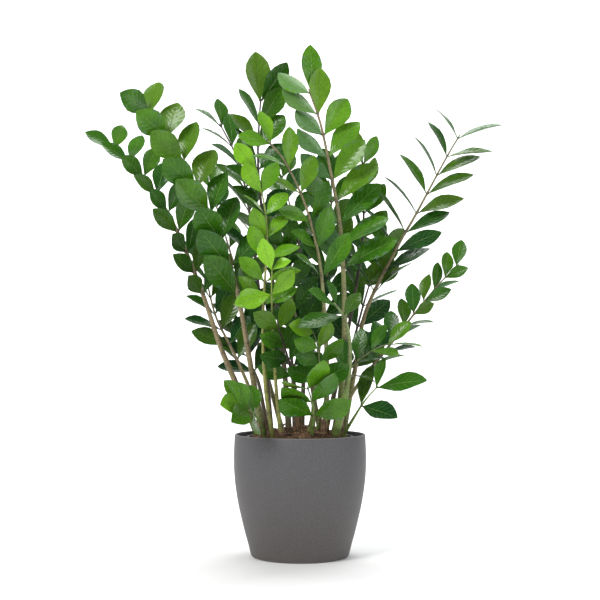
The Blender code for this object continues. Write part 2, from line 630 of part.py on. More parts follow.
def sheath_hole(stalk, shares, tall, sides=12):
    """A cutter with room for the whole sheath, from just under its foot to above the soil."""
    start = stalk.height_share(stalk_soil_height(stalk) - SHEATH_SUNK)
    end = stalk.height_share(stalk_soil_height(stalk) + tall * MM)
    rings = []
    for share in (-0.04, 0.0, 0.25, 0.5, 0.75, 1.0, 1.3):
        s = start + (end - start) * share
        point, radius = straight_between(stalk, shares, s)
        _, _, upper, side = stalk.at(s)
        turn = np.arange(sides) * 2 * math.pi / sides
        wide = radius + SHEATH_PLAY + SHEATH_WALL + 2.2 * MM
        rings.append([point + wide * (math.cos(a) * side - math.sin(a) * upper) for a in turn])
    return tube(rings)


def stalk_soil_height(stalk):
    """Height of the soil where the stalk comes out of it."""
    point = stalk.at(stalk.height_share(SOIL_EDGE + 0.6 * SOIL_MOUND))[0]
    return soil_height(point[0], point[1])


def make_sheaths(soil, stalks, grown):
    """The husks left round the foot of some stalks, each in a hole of its own in the soil."""
    husk = material("sheath_husk", (0.32, 0.19, 0.11), 0.8)
    for name, (tall, slit) in SHEATHS.items():
        stalk = stalks[name]
        shares = ring_shares(stalk, FRONDS[name][1], grown[name][0])
        add_object("sheath_" + name, *sheath_solid(stalk, shares, tall, slit), husk)
        cut(soil, add_object("sheath_cutter_" + name, *sheath_hole(stalk, shares, tall)))


def make_fronds(soil, stalks, grown):
    leaf = material("leaf_green", (0.07, 0.20, 0.03), 0.3)
    for name, frond in FRONDS.items():
        stalk, (places, leaflets) = stalks[name], grown[name]
        add_object("frond_" + name, *frond_solid(stalk, frond[1], places, leaflets), leaf)
        shares = ring_shares(stalk, frond[1], places)
        cut(soil, add_object("stalk_cutter_" + name, *stalk_hole(stalk, shares)))


def main():
    clear_scene()
    make_pots()
    soil = make_soil()
    make_rhizomes(soil)
    stalks, grown = grow_plant()
    make_sheaths(soil, stalks, grown)
    make_fronds(soil, stalks, grown)


main()
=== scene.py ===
"""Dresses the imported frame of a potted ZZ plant: pot, soil, husks, stalks, leaflets and a plain stage.

Lengths are in metres unless a name says otherwise. The pot stands on z = 0, centred on the z axis.
"""

import math

import bpy
import numpy as np
from mathutils.bvhtree import BVHTree
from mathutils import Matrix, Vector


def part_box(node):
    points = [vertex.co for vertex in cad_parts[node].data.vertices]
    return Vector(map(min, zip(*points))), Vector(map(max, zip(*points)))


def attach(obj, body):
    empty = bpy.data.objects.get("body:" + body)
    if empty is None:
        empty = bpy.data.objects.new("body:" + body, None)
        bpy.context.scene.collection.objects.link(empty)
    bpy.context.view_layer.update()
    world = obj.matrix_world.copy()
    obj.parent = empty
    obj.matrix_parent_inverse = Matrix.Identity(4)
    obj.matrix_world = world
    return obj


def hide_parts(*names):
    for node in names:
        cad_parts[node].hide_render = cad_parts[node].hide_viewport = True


bl_info = {
    "name": "Potted ZZ plant",
    "version": (1, 0, 0),
    "blender": (4, 5, 0),
    "location": "3D View > Sidebar > Plant",
    "description": "Dresses the frame of a potted ZZ plant with its finished surfaces",
    "category": "Add Mesh",
}

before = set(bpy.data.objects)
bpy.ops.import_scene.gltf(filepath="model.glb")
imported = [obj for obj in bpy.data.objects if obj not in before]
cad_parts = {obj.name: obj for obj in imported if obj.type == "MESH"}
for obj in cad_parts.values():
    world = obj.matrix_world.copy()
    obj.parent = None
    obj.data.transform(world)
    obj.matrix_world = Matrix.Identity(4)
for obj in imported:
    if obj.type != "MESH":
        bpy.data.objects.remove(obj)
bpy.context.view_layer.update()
BODY = "root"

MM = 0.001
CM = 0.01
UP = np.array((0.0, 0.0, 1.0))

POT_TOP = float(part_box("outer_pot")[1][2])
SOIL_FOOT = float(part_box("soil")[0][2])

# Outer pot profile, as (radius, height) in millimetres: the rounded foot, up the outside, the middle
# and half sizes of the rounded rim, and down the inside.
POT_FOOT = ((87.2, 0), (88.5, 0.1), (89.6, 0.6), (90.7, 1.6))
POT_OUTSIDE = (
    (92.7, 4), (98.0, 25), (103.2, 43), (110.6, 72), (116.7, 100), (121.6, 130), (124.4, 159),
    (125.0, 193),
)
POT_RIM = ((121.75, 227.1), (1.8, 1.9))
POT_INSIDE = ((120.9, 192), (117.5, 130), (106.6, 72), (95.5, 30), (85.0, 6))
POT_STEPS_AROUND = 128
# A plainer pot just outside the finished one, as (radius, height), which no frond may touch.
POT_GUARD = ((0.092, 0), (0.1275, 0.15), (0.128, 0.2315), (0.118, 0.2315))

SOIL_TOP_RADIUS = 95.9 * MM
SOIL_BOTTOM_RADIUS = 72.6 * MM
SOIL_EDGE = 219 * MM
SOIL_MOUND = 21 * MM
SOIL_ROWS, SOIL_STEPS_AROUND = 60, 200

# Rhizomes, as (x, y, half width, half depth) in centimetres.
RHIZOMES = {
    "rhizome_left": (-5.5, 0.2, 2.7, 4.2),
    "rhizome_right": (5.5, 0.2, 2.7, 4.2),
    "rhizome_back": (0.0, 5.0, 2.5, 2.4),
    "rhizome_front": (-0.3, -4.5, 2.4, 2.5),
}
RHIZOME_MIDDLE = 183 * MM
RHIZOME_HALF_HEIGHT = 20 * MM
BURIED_END = 205 * MM

# Fronds. For each: stalk radius at the soil in mm; share of the length that is bare; leaflet pairs;
# leaflet length and width in mm; where the upper side faces; then the left and the right row, each
# as opening at the first and last pair, lift, turn at the first and last pair in degrees, and size
# at the first and last pair; then the points of the stalk in centimetres.
FRONDS = {
    "left_arch": (7.2, 0.48, 9, 74, 38, (0.15, -0.95, 0.3),
        (48, 34, 66, 0, 0, 0.82, 0.84), (36, 56, 12, 0, 0, 1.0, 0.84),
        (-8.2, 0.5, 23), (-11, -1, 30), (-15, -2, 39.5), (-18.5, -3, 50), (-24, -3, 63), (-30, -2, 72),
        (-36, 0, 77.5)),
    "left_front": (6.8, 0.44, 8, 92, 58, (0.1, -0.95, 0.25),
        (28, 34, 48, 0, 0, 1.05, 0.78), (50, 42, 0, -48, -35, 1.0, 0.78),
        (-6.9, -3.4, 23), (-9, -5, 35), (-11.5, -8, 49.5), (-13.8, -10, 57.5), (-16.8, -12, 64.5),
        (-21.8, -13, 74), (-27.5, -14, 82)),
    "back_left_tall": (6.4, 0.56, 7, 86, 42, (0.3, -0.85, 0.35),
        (40, 24, 10, -40, -30, 1.05, 0.8), (34, 22, 30, -10, 0, 1.0, 0.8),
        (-5.6, 3.4, 23), (-7, 6, 39), (-9, 11, 58), (-11, 14, 71), (-13, 16, 78), (-16.5, 18, 85)),
    "centre_left_tall": (6.4, 0.60, 7, 84, 49, (0.2, -0.9, 0.2),
        (44, 14, 12, -55, 0, 0.92, 1.12), (46, 28, 12, -60, -15, 0.82, 1.02),
        (-2.1, 2, 23), (-3, 3, 35), (-4.5, 3, 47.5), (-6.5, 2, 59), (-8, 1, 74), (-7.5, 0, 87)),
    "centre_tall": (7.8, 0.50, 9, 100, 46, (0.1, -0.95, 0.2),
        (46, 40, -42, 160, 175, 0.85, 0.8), (60, 26, 8, -48, 0, 1.12, 0.92),
        (7.2, 0.2, 23), (8.3, -2, 39), (8.2, -3, 51), (7.5, -4, 62), (5.7, -5, 72), (3.8, -5, 81),
        (1.6, -5, 87.5)),
    "centre_arch": (6.2, 0.54, 6, 84, 40, (0.2, -0.85, 0.4),
        (46, 40, 16, -60, -15, 0.8, 0.8), (38, 40, 14, 0, 0, 1.08, 0.8),
        (4.6, -3.9, 23), (5, -5.5, 35), (4.1, -6.7, 51), (2.8, -7.5, 59), (0.7, -9, 66), (-2.7, -10, 73),
        (-6, -10.5, 77)),
    "right_mid_tall": (5.8, 0.55, 6, 84, 37, (0.2, -0.95, 0.2),
        (36, 16, 12, -50, -15, 0.85, 0.95), (44, 22, 12, -20, 0, 1.05, 0.8),
        (4.9, 4.5, 23), (9, 5, 41), (11.8, 6, 57), (12.5, 7, 67), (12.3, 8, 76)),
    "right_arch": (6.2, 0.46, 9, 118, 40, (-0.1, -0.98, 0.1),
        (64, 50, 0, -68, -54, 1.05, 0.72), (22, 38, 0, -10, -52, 0.80, 0.80),
        (8.3, 2.2, 23), (10.5, 2, 35), (12.6, 2.5, 46), (18.5, 4, 58), (22.5, 5, 65), (28.5, 7, 76),
        (31.5, 8, 81)),
    "right_low_arch": (5.0, 0.42, 9, 66, 32, (-0.3, -0.85, 0.4),
        (60, 24, 14, -30, 0, 1.0, 0.85), (38, 24, 8, -50, -30, 0.95, 0.85),
        (6.6, -2.1, 23), (9.4, -3, 30), (13, -3, 35), (16.3, -3, 39), (21, -3, 45), (26, -3, 51),
        (30, -3, 55)),
    "right_low_thin": (4.4, 0.58, 4, 72, 32, (-0.1, -0.7, 0.6),
        (58, 30, 12, -30, -20, 1.0, 0.85), (44, 20, 12, -60, -45, 0.9, 0.9),
        (3, -2, 23), (5.5, -3.8, 31), (10, -5.5, 36), (14, -6.5, 39), (17, -7.5, 40)),
    "right_bottom": (4.2, 0.62, 2, 116, 48, (0.0, -0.75, 0.6),
        (40, 24, 12, -20, -30, 0.72, 0.55), (52, 22, 8, -50, -20, 0.82, 1.0),
        (8.3, -3, 23), (10.2, -4.4, 26.5), (12, -6.5, 29.5), (14.5, -8.5, 32.5)),
    "bent_shoot": (8.6, 0.88, 2, 92, 40, (-0.2, -0.7, 0.6),
        (62, 22, 0, -56, -20, 1.1, 0.9), (50, 34, 6, -45, -30, 0.6, 0.55),
        (6.6, -4.9, 23), (8.3, -7, 30), (9.1, -8.7, 37), (8.8, -10, 42), (7.8, -11.5, 45),
        (6, -13.5, 47.3)),
    "lime_tall": (4.8, 0.52, 7, 66, 34, (0.1, -0.95, 0.2),
        (42, 22, 16, -15, 0, 1.0, 1.0), (66, 30, 10, -60, -10, 1.0, 0.9),
        (-5.1, -6, 23), (-6.2, -7.5, 31), (-6.7, -9, 39), (-6.6, -10.5, 48), (-6, -11.5, 57),
        (-6.3, -12, 64), (-8, -12, 72)),
    "lime_short": (4.8, 0.84, 2, 72, 40, (0.1, -0.9, 0.3),
        (78, 12, 8, -48, 0, 1.15, 0.85), (40, 50, 14, 0, -60, 0.85, 0.5),
        (-3.5, -6.5, 23), (-4.3, -8.2, 31), (-4.8, -10, 40), (-5.1, -12, 48), (-5.0, -14, 54)),
    "left_bottom": (4.0, 0.58, 3, 84, 50, (0.05, -0.75, 0.6),
        (50, 28, 14, 0, -10, 1.05, 0.72), (56, 30, 14, -60, -40, 0.62, 0.6),
        (-6.6, -5.0, 23), (-7.7, -7.5, 26), (-9.2, -10.5, 28), (-11.6, -13, 29.5)),
    "centre_bottom": (4.2, 0.48, 3, 82, 54, (0.0, -0.95, 0.3),
        (52, 30, 16, 0, 0, 1.05, 0.8), (58, 34, 16, 0, -10, 0.95, 0.85),
        (2.2, -6.6, 23), (2.4, -8.8, 27), (2.0, -11.2, 30), (1.2, -13.5, 32.5)),
    "centre_thin": (5.6, 0.56, 4, 72, 40, (0.0, -0.85, 0.4),
        (56, 28, 16, -10, 0, 1.0, 0.85), (56, 30, 16, -30, 0, 1.0, 0.85),
        (-0.2, -2.6, 23), (-0.8, -5, 31), (-2, -7.3, 36.5), (-3.2, -9.5, 40.5), (-4, -11, 43.5)),
    "centre_right_thin": (4.4, 0.56, 4, 68, 40, (0.1, -0.85, 0.4),
        (56, 28, 16, -20, 0, 1.0, 0.85), (52, 30, 16, 0, 0, 1.0, 0.85),
        (1.6, -4.4, 23), (3, -7, 31), (3.5, -9, 36), (3.2, -11, 39.5), (2.2, -13, 42.5)),
    "centre_brown": (5.4, 0.50, 6, 80, 42, (0.1, -0.9, 0.3),
        (46, 26, 18, -10, 0, 1.0, 0.8), (48, 28, 18, -30, 0, 1.0, 0.85),
        (3.8, 1, 23), (2.2, -0.5, 32), (0.2, -2.5, 41), (-1.4, -4, 47.5), (-2.5, -5, 53),
        (-3.4, -5.5, 58)),
    "back_dark": (5.4, 0.46, 7, 84, 42, (0.0, -0.6, 0.6),
        (50, 26, 18, -10, 0, 1.0, 0.85), (50, 26, 18, 0, 0, 1.0, 0.85),
        (0.4, 6, 23), (0.8, 10, 43), (0, 15, 58), (-1.5, 18, 66), (-4, 22, 75)),
    "left_low": (5.0, 0.46, 7, 74, 37, (0.2, -0.9, 0.35),
        (50, 30, 12, -30, -20, 1.0, 0.85), (48, 28, 16, -10, -10, 1.0, 0.85),
        (-7.3, -1.5, 23), (-8.6, -1.5, 29), (-11.2, -1.5, 35.5), (-13.5, 0, 40), (-16, 1, 45),
        (-17.5, 2, 50.5), (-18.5, 3, 56)),
    "left_low_dark": (5.0, 0.42, 7, 72, 37, (0.1, -0.9, 0.35),
        (50, 28, 14, -40, -20, 1.0, 0.85), (50, 28, 16, -20, -10, 1.0, 0.85),
        (-6.2, 1.2, 23), (-7.8, 2, 32), (-9.9, 3, 37), (-11, 4, 43), (-12, 5, 49), (-13, 6, 54)),
    "centre_back": (5.8, 0.46, 7, 86, 42, (0.2, -0.6, 0.6),
        (48, 26, 18, -10, 0, 1.0, 0.85), (48, 26, 18, -20, 0, 1.0, 0.85),
        (2.3, 4.3, 23), (3.7, 8, 39), (5.3, 12, 53), (6.2, 14.5, 63), (6.4, 17, 74)),
    "right_back": (5.0, 0.36, 7, 84, 42, (0.1, -0.9, 0.35),
        (50, 26, 14, -20, 0, 1.0, 0.85), (50, 28, 14, -40, -10, 1.0, 0.85),
        (6.4, 3.2, 23), (9, 5, 35), (12, 8, 46), (14.5, 11, 54), (16.5, 13, 60)),
    "left_back": (5.4, 0.48, 7, 78, 40, (0.3, -0.5, 0.7),
        (48, 26, 16, -40, -20, 1.0, 0.85), (48, 26, 16, -10, 0, 1.0, 0.85),
        (-3.4, 5.4, 23), (-6.8, 8, 35), (-10.4, 12, 47), (-14, 16, 58), (-16.5, 19, 66), (-19, 22, 73)),
    "centre_back_low": (5.0, 0.36, 7, 78, 42, (0.1, -0.6, 0.7),
        (50, 28, 16, -10, 0, 1.0, 0.85), (50, 28, 16, -10, 0, 1.0, 0.85),
        (-1, 4.2, 23), (-1.5, 8.5, 35), (-2.2, 14, 45), (-2, 18, 54), (-1, 22, 61)),
}

# Age of each frond's leaflets, 0 old and dark to 1 young and lime, and the kind of its stalk.
LOOKS = {
    "left_arch": (0.30, "tan"), "left_front": (0.42, "tan"), "back_left_tall": (0.22, "purple"),
    "centre_left_tall": (0.32, "purple"), "centre_tall": (0.55, "olive_tan"),
    "centre_arch": (0.58, "olive_tan"), "right_mid_tall": (0.45, "purple"), "right_arch": (0.24, "tan"),
    "right_low_arch": (0.28, "tan"), "right_low_thin": (0.4, "olive"), "right_bottom": (0.28, "green"),
    "bent_shoot": (0.3, "pale_green"), "lime_tall": (0.72, "yellow_green"),
    "lime_short": (0.95, "yellow_green"), "left_bottom": (0.60, "green"),
    "centre_bottom": (0.55, "green"), "centre_thin": (0.4, "purple"),
    "centre_right_thin": (0.52, "olive"), "centre_brown": (0.3, "tan"), "back_dark": (0.15, "purple"),
    "left_low": (0.2, "tan"), "left_low_dark": (0.12, "purple"), "centre_back": (0.3, "olive"),
    "right_back": (0.22, "purple"), "left_back": (0.25, "tan"), "centre_back_low": (0.18, "purple"),
}
# Stalk colours in linear light: at the foot, in the middle and at the end.
STALK_KINDS = {
    "tan": ((0.16, 0.22, 0.05), (0.30, 0.23, 0.12), (0.20, 0.20, 0.09)),
    "olive": ((0.20, 0.27, 0.07), (0.26, 0.29, 0.11), (0.18, 0.27, 0.09)),
    "green": ((0.20, 0.33, 0.06), (0.22, 0.37, 0.08), (0.16, 0.33, 0.06)),
    "pale_green": ((0.20, 0.33, 0.06), (0.31, 0.41, 0.14), (0.24, 0.33, 0.12)),
    "olive_tan": ((0.20, 0.30, 0.06), (0.31, 0.32, 0.13), (0.27, 0.20, 0.125)),
    "yellow_green": ((0.26, 0.29, 0.06), (0.38, 0.38, 0.10), (0.30, 0.42, 0.08)),
    "purple": ((0.12, 0.11, 0.05), (0.085, 0.064, 0.05), (0.07, 0.048, 0.05)),
}

# Husks left round the foot of some stalks, as height above the soil in millimetres and slit angle.
SHEATHS = {
    "centre_tall": (42, 250), "centre_arch": (26, 80), "left_front": (30, 300),
    "bent_shoot": (9, 200), "centre_thin": (42, 120), "lime_short": (16, 30),
    "right_low_arch": (24, 330),
}
SHEATH_SUNK = 9 * MM
SHEATH_WALL = 0.8 * MM
SHEATH_PLAY = 0.7 * MM
SHEATH_ROWS, SHEATH_COLUMNS = 9, 22
# Half the opening of a husk's slit, in degrees.
SLIT_HALF = 16

HALF_BLADE = 0.6 * MM
LEAF_MARGIN = 1.6 * MM
STALK_MARGIN = 1.4 * MM
END_LENGTH = 9 * MM
STALK_COLUMNS = 12
STALK_ROW_STEP = 4.5 * MM
# Swelling of a stalk at each leaflet pair, as a share of its radius, and how far it spreads.
NODE_BULGE = 0.16
NODE_SPREAD = 3.5 * MM
# Shares of a stalk's length at which old scars ring its bare part, and how far they spread.
SCARS = (0.13, 0.21, 0.3)
SCAR_SPREAD = 2.6 * MM
# Seeds of the random draws.
LEAFLET_SEED, SOIL_SEED, CRUMB_SEED, STRIP_SEED, SHEATH_SEED, AGE_SEED = 1000, 7, 11, 23, 31, 5

# A blade's rows along its length, and its points round the cross-section from the right edge over
# the top to the left edge and back underneath, as the share of the half width and the face's side.
BLADE_ROWS = np.array((0.0, 0.05, 0.16, 0.3, 0.45, 0.6, 0.75, 0.88, 0.965))
BLADE_ACROSS = np.array((1.0, 0.5, 0.0, -0.5, -1.0, -0.5, 0.0, 0.5))
BLADE_SIDE = np.array((0.0, 1.0, 1.0, 1.0, 0.0, -1.0, -1.0, -1.0))

# Changes tried in order on a leaflet that would touch something: turn, lift, opening, size.
CHANGES = (
    (0, 0, 0, 1.0), (24, 0, 0, 1.0), (-24, 0, 0, 1.0), (0, 14, 0, 1.0), (0, -14, 0, 1.0),
    (0, 0, 12, 1.0), (0, 0, -12, 1.0), (20, 16, 0, 0.95), (-20, -16, 0, 0.95),
    (45, 0, 0, 0.95), (-45, 0, 0, 0.95), (0, 28, 8, 0.9), (0, -28, 8, 0.9),
    (30, 20, 14, 0.85), (-30, 20, -10, 0.85), (30, -20, 14, 0.85), (-30, -20, -10, 0.85),
    (0, 40, 0, 0.8), (0, -40, 0, 0.8), (60, 10, 10, 0.75), (-60, -10, 10, 0.75),
    (0, 0, 0, 0.65), (40, 30, 0, 0.65), (-40, -30, 0, 0.65), (0, 55, 10, 0.6),
)
# Sideways shifts tried in order, in centimetres, on a stalk that would touch an earlier one.
SHIFTS = ((0, 0), (0, 1), (0, -1), (1, 0), (-1, 0), (0, 2), (0, -2), (1, 2), (-1, -2), (0, 3), (0, -3))

# Stage. The floor runs from front to back and curves up through a quarter circle into a wall.
FLOOR_FRONT, FLOOR_BACK, FLOOR_CURVE, WALL_TOP, FLOOR_HALF_WIDTH = -6.0, 2.2, 1.6, 6.0, 9.0
# Soft lights: place, target, size, share of the key light's power, and colour.
LIGHTS = {
    "key": ((-1.7, -2.1, 2.5), (0, 0, 0.5), 1.2, 1.0, (1.0, 0.99, 0.97)),
    "fill": ((2.4, -1.7, 1.3), (0, 0, 0.5), 1.6, 0.3, (0.95, 0.98, 1.0)),
    "top": ((0.3, 0.5, 2.7), (0, 0, 0.6), 1.3, 0.55, (0.98, 0.99, 1.0)),
    "backdrop": ((0.0, 1.6, 2.6), (0.0, 4.4, 0.4), 2.4, 1.5, (1.0, 1.0, 1.0)),
}
SURROUND_STRENGTH = 0.34
# Camera: lens and sensor width in millimetres, and its tilt up from straight down in degrees.
LENS, SENSOR_WIDTH, CAMERA_TILT = 76.3, 36.0, 91.8


def unit(vector):
    """The vector at length 1."""
    return vector / np.linalg.norm(vector)


def square_to(vector, axis):
    """The unit part of a vector at right angles to a unit axis."""
    return unit(vector - np.dot(vector, axis) * axis)


def read_off(shares, along, values):
    """Rows of values read off at any shares of the way, straight between the rows given along it."""
    return np.stack([np.interp(shares, along, column) for column in values.T], axis=-1)


def turns(count, start=0.0):
    """Evenly spaced angles round a full turn, begun at a share of one step."""
    return (np.arange(count) + start) * 2 * math.pi / count


def smooth_line(points, count=200):
    """Evenly spaced points on a Catmull-Rom curve through the given points, and its length."""
    p = np.vstack([2 * points[0] - points[1], points, 2 * points[-1] - points[-2]])
    u = np.linspace(0, len(points) - 1 - 1e-9, count * 4)
    i = u.astype(int)
    f = (u - i)[:, None]
    a, b, c, d = p[i], p[i + 1], p[i + 2], p[i + 3]
    curve = 0.5 * (2 * b + (c - a) * f + (2 * a - 5 * b + 4 * c - d) * f**2 + (3 * b - a - 3 * c + d) * f**3)
    run = np.concatenate([[0], np.cumsum(np.linalg.norm(np.diff(curve, axis=0), axis=1))])
    even = np.linspace(0, run[-1], count)
    return read_off(even, run, curve), run[-1]


def rhizome_top(x, y):
    """Height of the rhizome under a point, or 0 where there is none or only its steep edge."""
    for cx, cy, half_x, half_y in RHIZOMES.values():
        inside = 1 - ((x - cx * CM) / (half_x * CM)) ** 2 - ((y - cy * CM) / (half_y * CM)) ** 2
        if inside > 0.2:
            return RHIZOME_MIDDLE + RHIZOME_HALF_HEIGHT * math.sqrt(inside)
    return 0.0


class Stalk:
    """The line of a stalk, with its radius, its upper side and its right side along it."""

    def __init__(self, radius, facing, points, shift):
        path = np.array(points, float) * CM
        lean = np.sin(np.linspace(0, math.pi * 0.75, len(path)))
        path[:, 0] += shift[0] * CM * lean
        path[:, 1] += shift[1] * CM * lean
        foot = path[0].copy()
        foot[:2] -= 0.15 * (path[1] - path[0])[:2]
        reach = 1.2 * radius * MM
        around = ((0, 0), (reach, 0), (-reach, 0), (0, reach), (0, -reach))
        top = max(rhizome_top(foot[0] + dx, foot[1] + dy) for dx, dy in around)
        foot[2] = top + 1.8 * MM if rhizome_top(foot[0], foot[1]) else max(BURIED_END, top + 1.8 * MM)
        self.line, self.length = smooth_line(np.vstack([foot, path]))
        self.along = np.linspace(0, 1, len(self.line))
        self.slope = np.gradient(self.line, axis=0)
        self.radius_at_foot = radius * MM
        self.facing = np.array(facing, float)

    def at(self, s):
        """Point, direction, upper side and right side at a share s of the length."""
        point = read_off(s, self.along, self.line)
        ahead = unit(read_off(s, self.along, self.slope))
        upper = square_to(self.facing, ahead)
        return point, ahead, upper, np.cross(ahead, upper)

    def radius(self, s):
        """Thick and a little swollen at the foot, thin at the end."""
        foot = self.radius_at_foot
        end = 0.26 * foot
        swell = 0.14 * foot * np.exp(-s * self.length / 0.05)
        return end + (foot - end) * (1 - s) ** 1.25 + swell

    def height_share(self, z):
        """The share of the length at which the line first passes a height."""
        return float(self.along[int(np.argmax(self.line[:, 2] >= z))])

    def guard_ring(self, s):
        """Six points round the stalk, just outside its skin."""
        point, _, upper, side = self.at(s)
        radius = self.radius(s) + STALK_MARGIN
        return [point + radius * (math.cos(a) * side - math.sin(a) * upper) for a in turns(6, -0.5)]


def blade_width(t):
    """Half width of a blade at a share t of its length, as a share of its greatest half width."""
    return np.sin(math.pi * np.clip(t, 0, 1) ** 1.2).clip(0) ** 0.92


class Leaflet:
    """One blade: its foot, direction D, across B and normal N, with its size, curl and fold."""

    def __init__(self, stalk, frond, share, side, place, chance, change):
        length, width = frond[3], frond[4]
        row = frond[6 if side < 0 else 7]
        open_first, open_last, lift, turn_first, turn_last, size_first, size_last = row
        more_turn, more_lift, more_open, size = change
        point, ahead, upper, right = stalk.at(place)
        angle = math.radians(open_first + (open_last - open_first) * share + 10 * chance[0] + more_open)
        raised = math.radians(lift + 13 * chance[1] + more_lift)
        out = side * right * math.cos(raised) + upper * math.sin(raised)
        self.D = unit(math.cos(angle) * ahead + math.sin(angle) * out)
        flat = square_to(upper, self.D)
        turn = turn_first + (turn_last - turn_first) * share + 16 * chance[2]
        twist = math.radians(side * turn + more_turn)
        self.N = math.cos(twist) * flat + math.sin(twist) * np.cross(self.D, flat)
        self.B = np.cross(self.N, self.D)
        grown = (size_first + (size_last - size_first) * share) * size
        self.length = length * MM * grown * (1 + 0.08 * chance[3])
        self.width = 0.5 * width * MM * (0.3 + 0.7 * grown) * (1 + 0.08 * chance[4])
        self.curl = 0.11 + 0.08 * chance[5]
        self.fold = math.radians(14 + 7 * chance[6])
        self.foot = point + side * right * stalk.radius(place) * 0.8

    def middle(self, t):
        """The midrib: straight along D, bent down from N and from the sky with the square of t."""
        t = np.asarray(t, float)[..., None]
        bend = self.N * self.curl + UP * 0.04
        return self.foot + self.length * (self.D * t - bend * t * t)

    def guard_ring(self, t):
        """Right edge, top of the midrib, left edge and underside of the midrib, all with room to spare."""
        middle = self.middle(t)
        width = self.width * blade_width(t) + LEAF_MARGIN * 0.8
        across = self.B * width * math.cos(self.fold)
        rise = self.N * width * math.sin(self.fold)
        thick = self.N * (HALF_BLADE * (1 - 0.5 * t) + LEAF_MARGIN)
        return [middle + across + rise, middle + thick, middle - across + rise, middle - thick]

    def guard(self):
        """A thicker and wider blade, which has to stay clear of everything else."""
        rings = [self.guard_ring(t) for t in (0.16, 0.3, 0.5, 0.7, 0.88)]
        rings.append([self.middle(1.0) + offset * 0.8 * MM for offset in (self.B, self.N, -self.B, -self.N)])
        return tube(rings)


class Room:
    """The solids placed so far, which a new one may not touch."""

    def __init__(self):
        self.lows = []
        self.highs = []
        self.trees = []

    def is_clear(self, points, tree):
        """Whether a solid touches none of those placed so far."""
        if not self.trees:
            return True
        low, high = np.min(points, axis=0), np.max(points, axis=0)
        near = (np.array(self.lows) <= high).all(axis=1) & (np.array(self.highs) >= low).all(axis=1)
        return not any(self.trees[i].overlap(tree) for i in np.flatnonzero(near))

    def place(self, points, faces):
        """Adds the solid if it touches nothing, and says whether it did."""
        tree = BVHTree.FromPolygons([tuple(p) for p in points], faces)
        if not self.is_clear(points, tree):
            return False
        self.lows.append(np.min(points, axis=0))
        self.highs.append(np.max(points, axis=0))
        self.trees.append(tree)
        return True


def leaf_places(stalk, bare, pairs):
    """The shares of the stalk's length at which its leaflet pairs sit."""
    return np.linspace(bare, 1 - END_LENGTH / stalk.length, pairs)


def grow_stalks(room):
    """Every stalk, shifted sideways where it would touch an earlier one."""
    stalks = {}
    for name, frond in FRONDS.items():
        for shift in SHIFTS:
            stalk = Stalk(frond[0], frond[5], frond[8:], shift)
            if room.place(*tube([stalk.guard_ring(s) for s in np.linspace(0, 1, 24)])):
                break
        else:
            raise RuntimeError("no room for the stalk " + name)
        stalks[name] = stalk
    return stalks


def grow_leaflets(room, stalks):
    """For every frond, the places of its pairs and the leaflets that fit, as (pair, leaflet)."""
    grown = {}
    for number, (name, frond) in enumerate(FRONDS.items()):
        rng = np.random.default_rng(LEAFLET_SEED + number)
        pairs = frond[2]
        places = leaf_places(stalks[name], frond[1], pairs)
        leaflets = []
        for pair in range(pairs):
            for side in (-1, 1):
                chance = rng.uniform(-1, 1, 7)
                share = pair / (pairs - 1)
                for change in CHANGES:
                    leaflet = Leaflet(stalks[name], frond, share, side, places[pair], chance, change)
                    if room.place(*leaflet.guard()):
                        leaflets.append((pair, leaflet))
                        break
        grown[name] = (places, leaflets)
    return grown


def grow_plant():
    """The stalks and leaflets of the whole plant, clear of the pot and of one another."""
    room = Room()
    points, faces = lathe(POT_GUARD, 48)
    room.place(points, faces[:-2])
    stalks = grow_stalks(room)
    return stalks, grow_leaflets(room, stalks)


def blade_outline(t):
    """Half width of a finished blade: blunter towards the tip than the plain blade it covers."""
    return np.sin(math.pi * np.clip(t, 0, 1) ** 1.33).clip(0) ** 0.8


# ---------------------------------------------------------------- mesh tools

def tube(rings):
    """Points and faces of a closed tube through rings of equally many points."""
    count = len(rings[0])
    faces = [tuple(range(count))[::-1]]
    faces += grid_faces(len(rings), count).tolist()
    faces.append(tuple(range((len(rings) - 1) * count, len(rings) * count)))
    return np.concatenate(rings), faces


def lathe(profile, segments):
    """A profile of (radius, height) turned about the z axis: x = r cos a, y = r sin a."""
    return tube([ring_at(radius, z, segments) for radius, z in profile])


def ring_at(radius, z, segments):
    """A level ring of points round the z axis."""
    turn = turns(segments)
    return np.stack([radius * np.cos(turn), radius * np.sin(turn), np.full(segments, z)], axis=1)


def grid_faces(rows, columns):
    """Four-sided faces between the rings of a grid that closes on itself across its columns."""
    low = np.arange(rows - 1)[:, None] * columns + np.arange(columns)
    over = np.arange(rows - 1)[:, None] * columns + (np.arange(columns) + 1) % columns
    return np.stack([low, over, over + columns, low + columns], axis=-1).reshape(-1, 4)


def fan_faces(start, columns, tip):
    """Triangles from the ring that starts at a point number to a single tip."""
    here = start + np.arange(columns)
    over = start + (np.arange(columns) + 1) % columns
    return np.stack([here, over, np.full(columns, tip)], axis=1)


def add_object(name, data):
    """A new object in the scene, holding a mesh, a light or a camera."""
    thing = bpy.data.objects.new(name, data)
    bpy.context.scene.collection.objects.link(thing)
    return thing


def add_mesh(name, points, faces, surface, smooth=True):
    """A mesh object at the origin with one material, shaded smooth or flat."""
    mesh = bpy.data.meshes.new(name)
    mesh.from_pydata(np.asarray(points).tolist(), [], faces)
    mesh.materials.append(surface)
    mesh.polygons.foreach_set("use_smooth", [smooth] * len(mesh.polygons))
    mesh.update()
    return add_object(name, mesh)


def add_piece(name, points, faces, surface, stands_for=(), smooth=True):
    """A mesh object that rides on the plant's one body."""
    piece = add_mesh(name, points, faces, surface, smooth)
    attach(piece, BODY)
    if stands_for:
        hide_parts(*stands_for)
    return piece


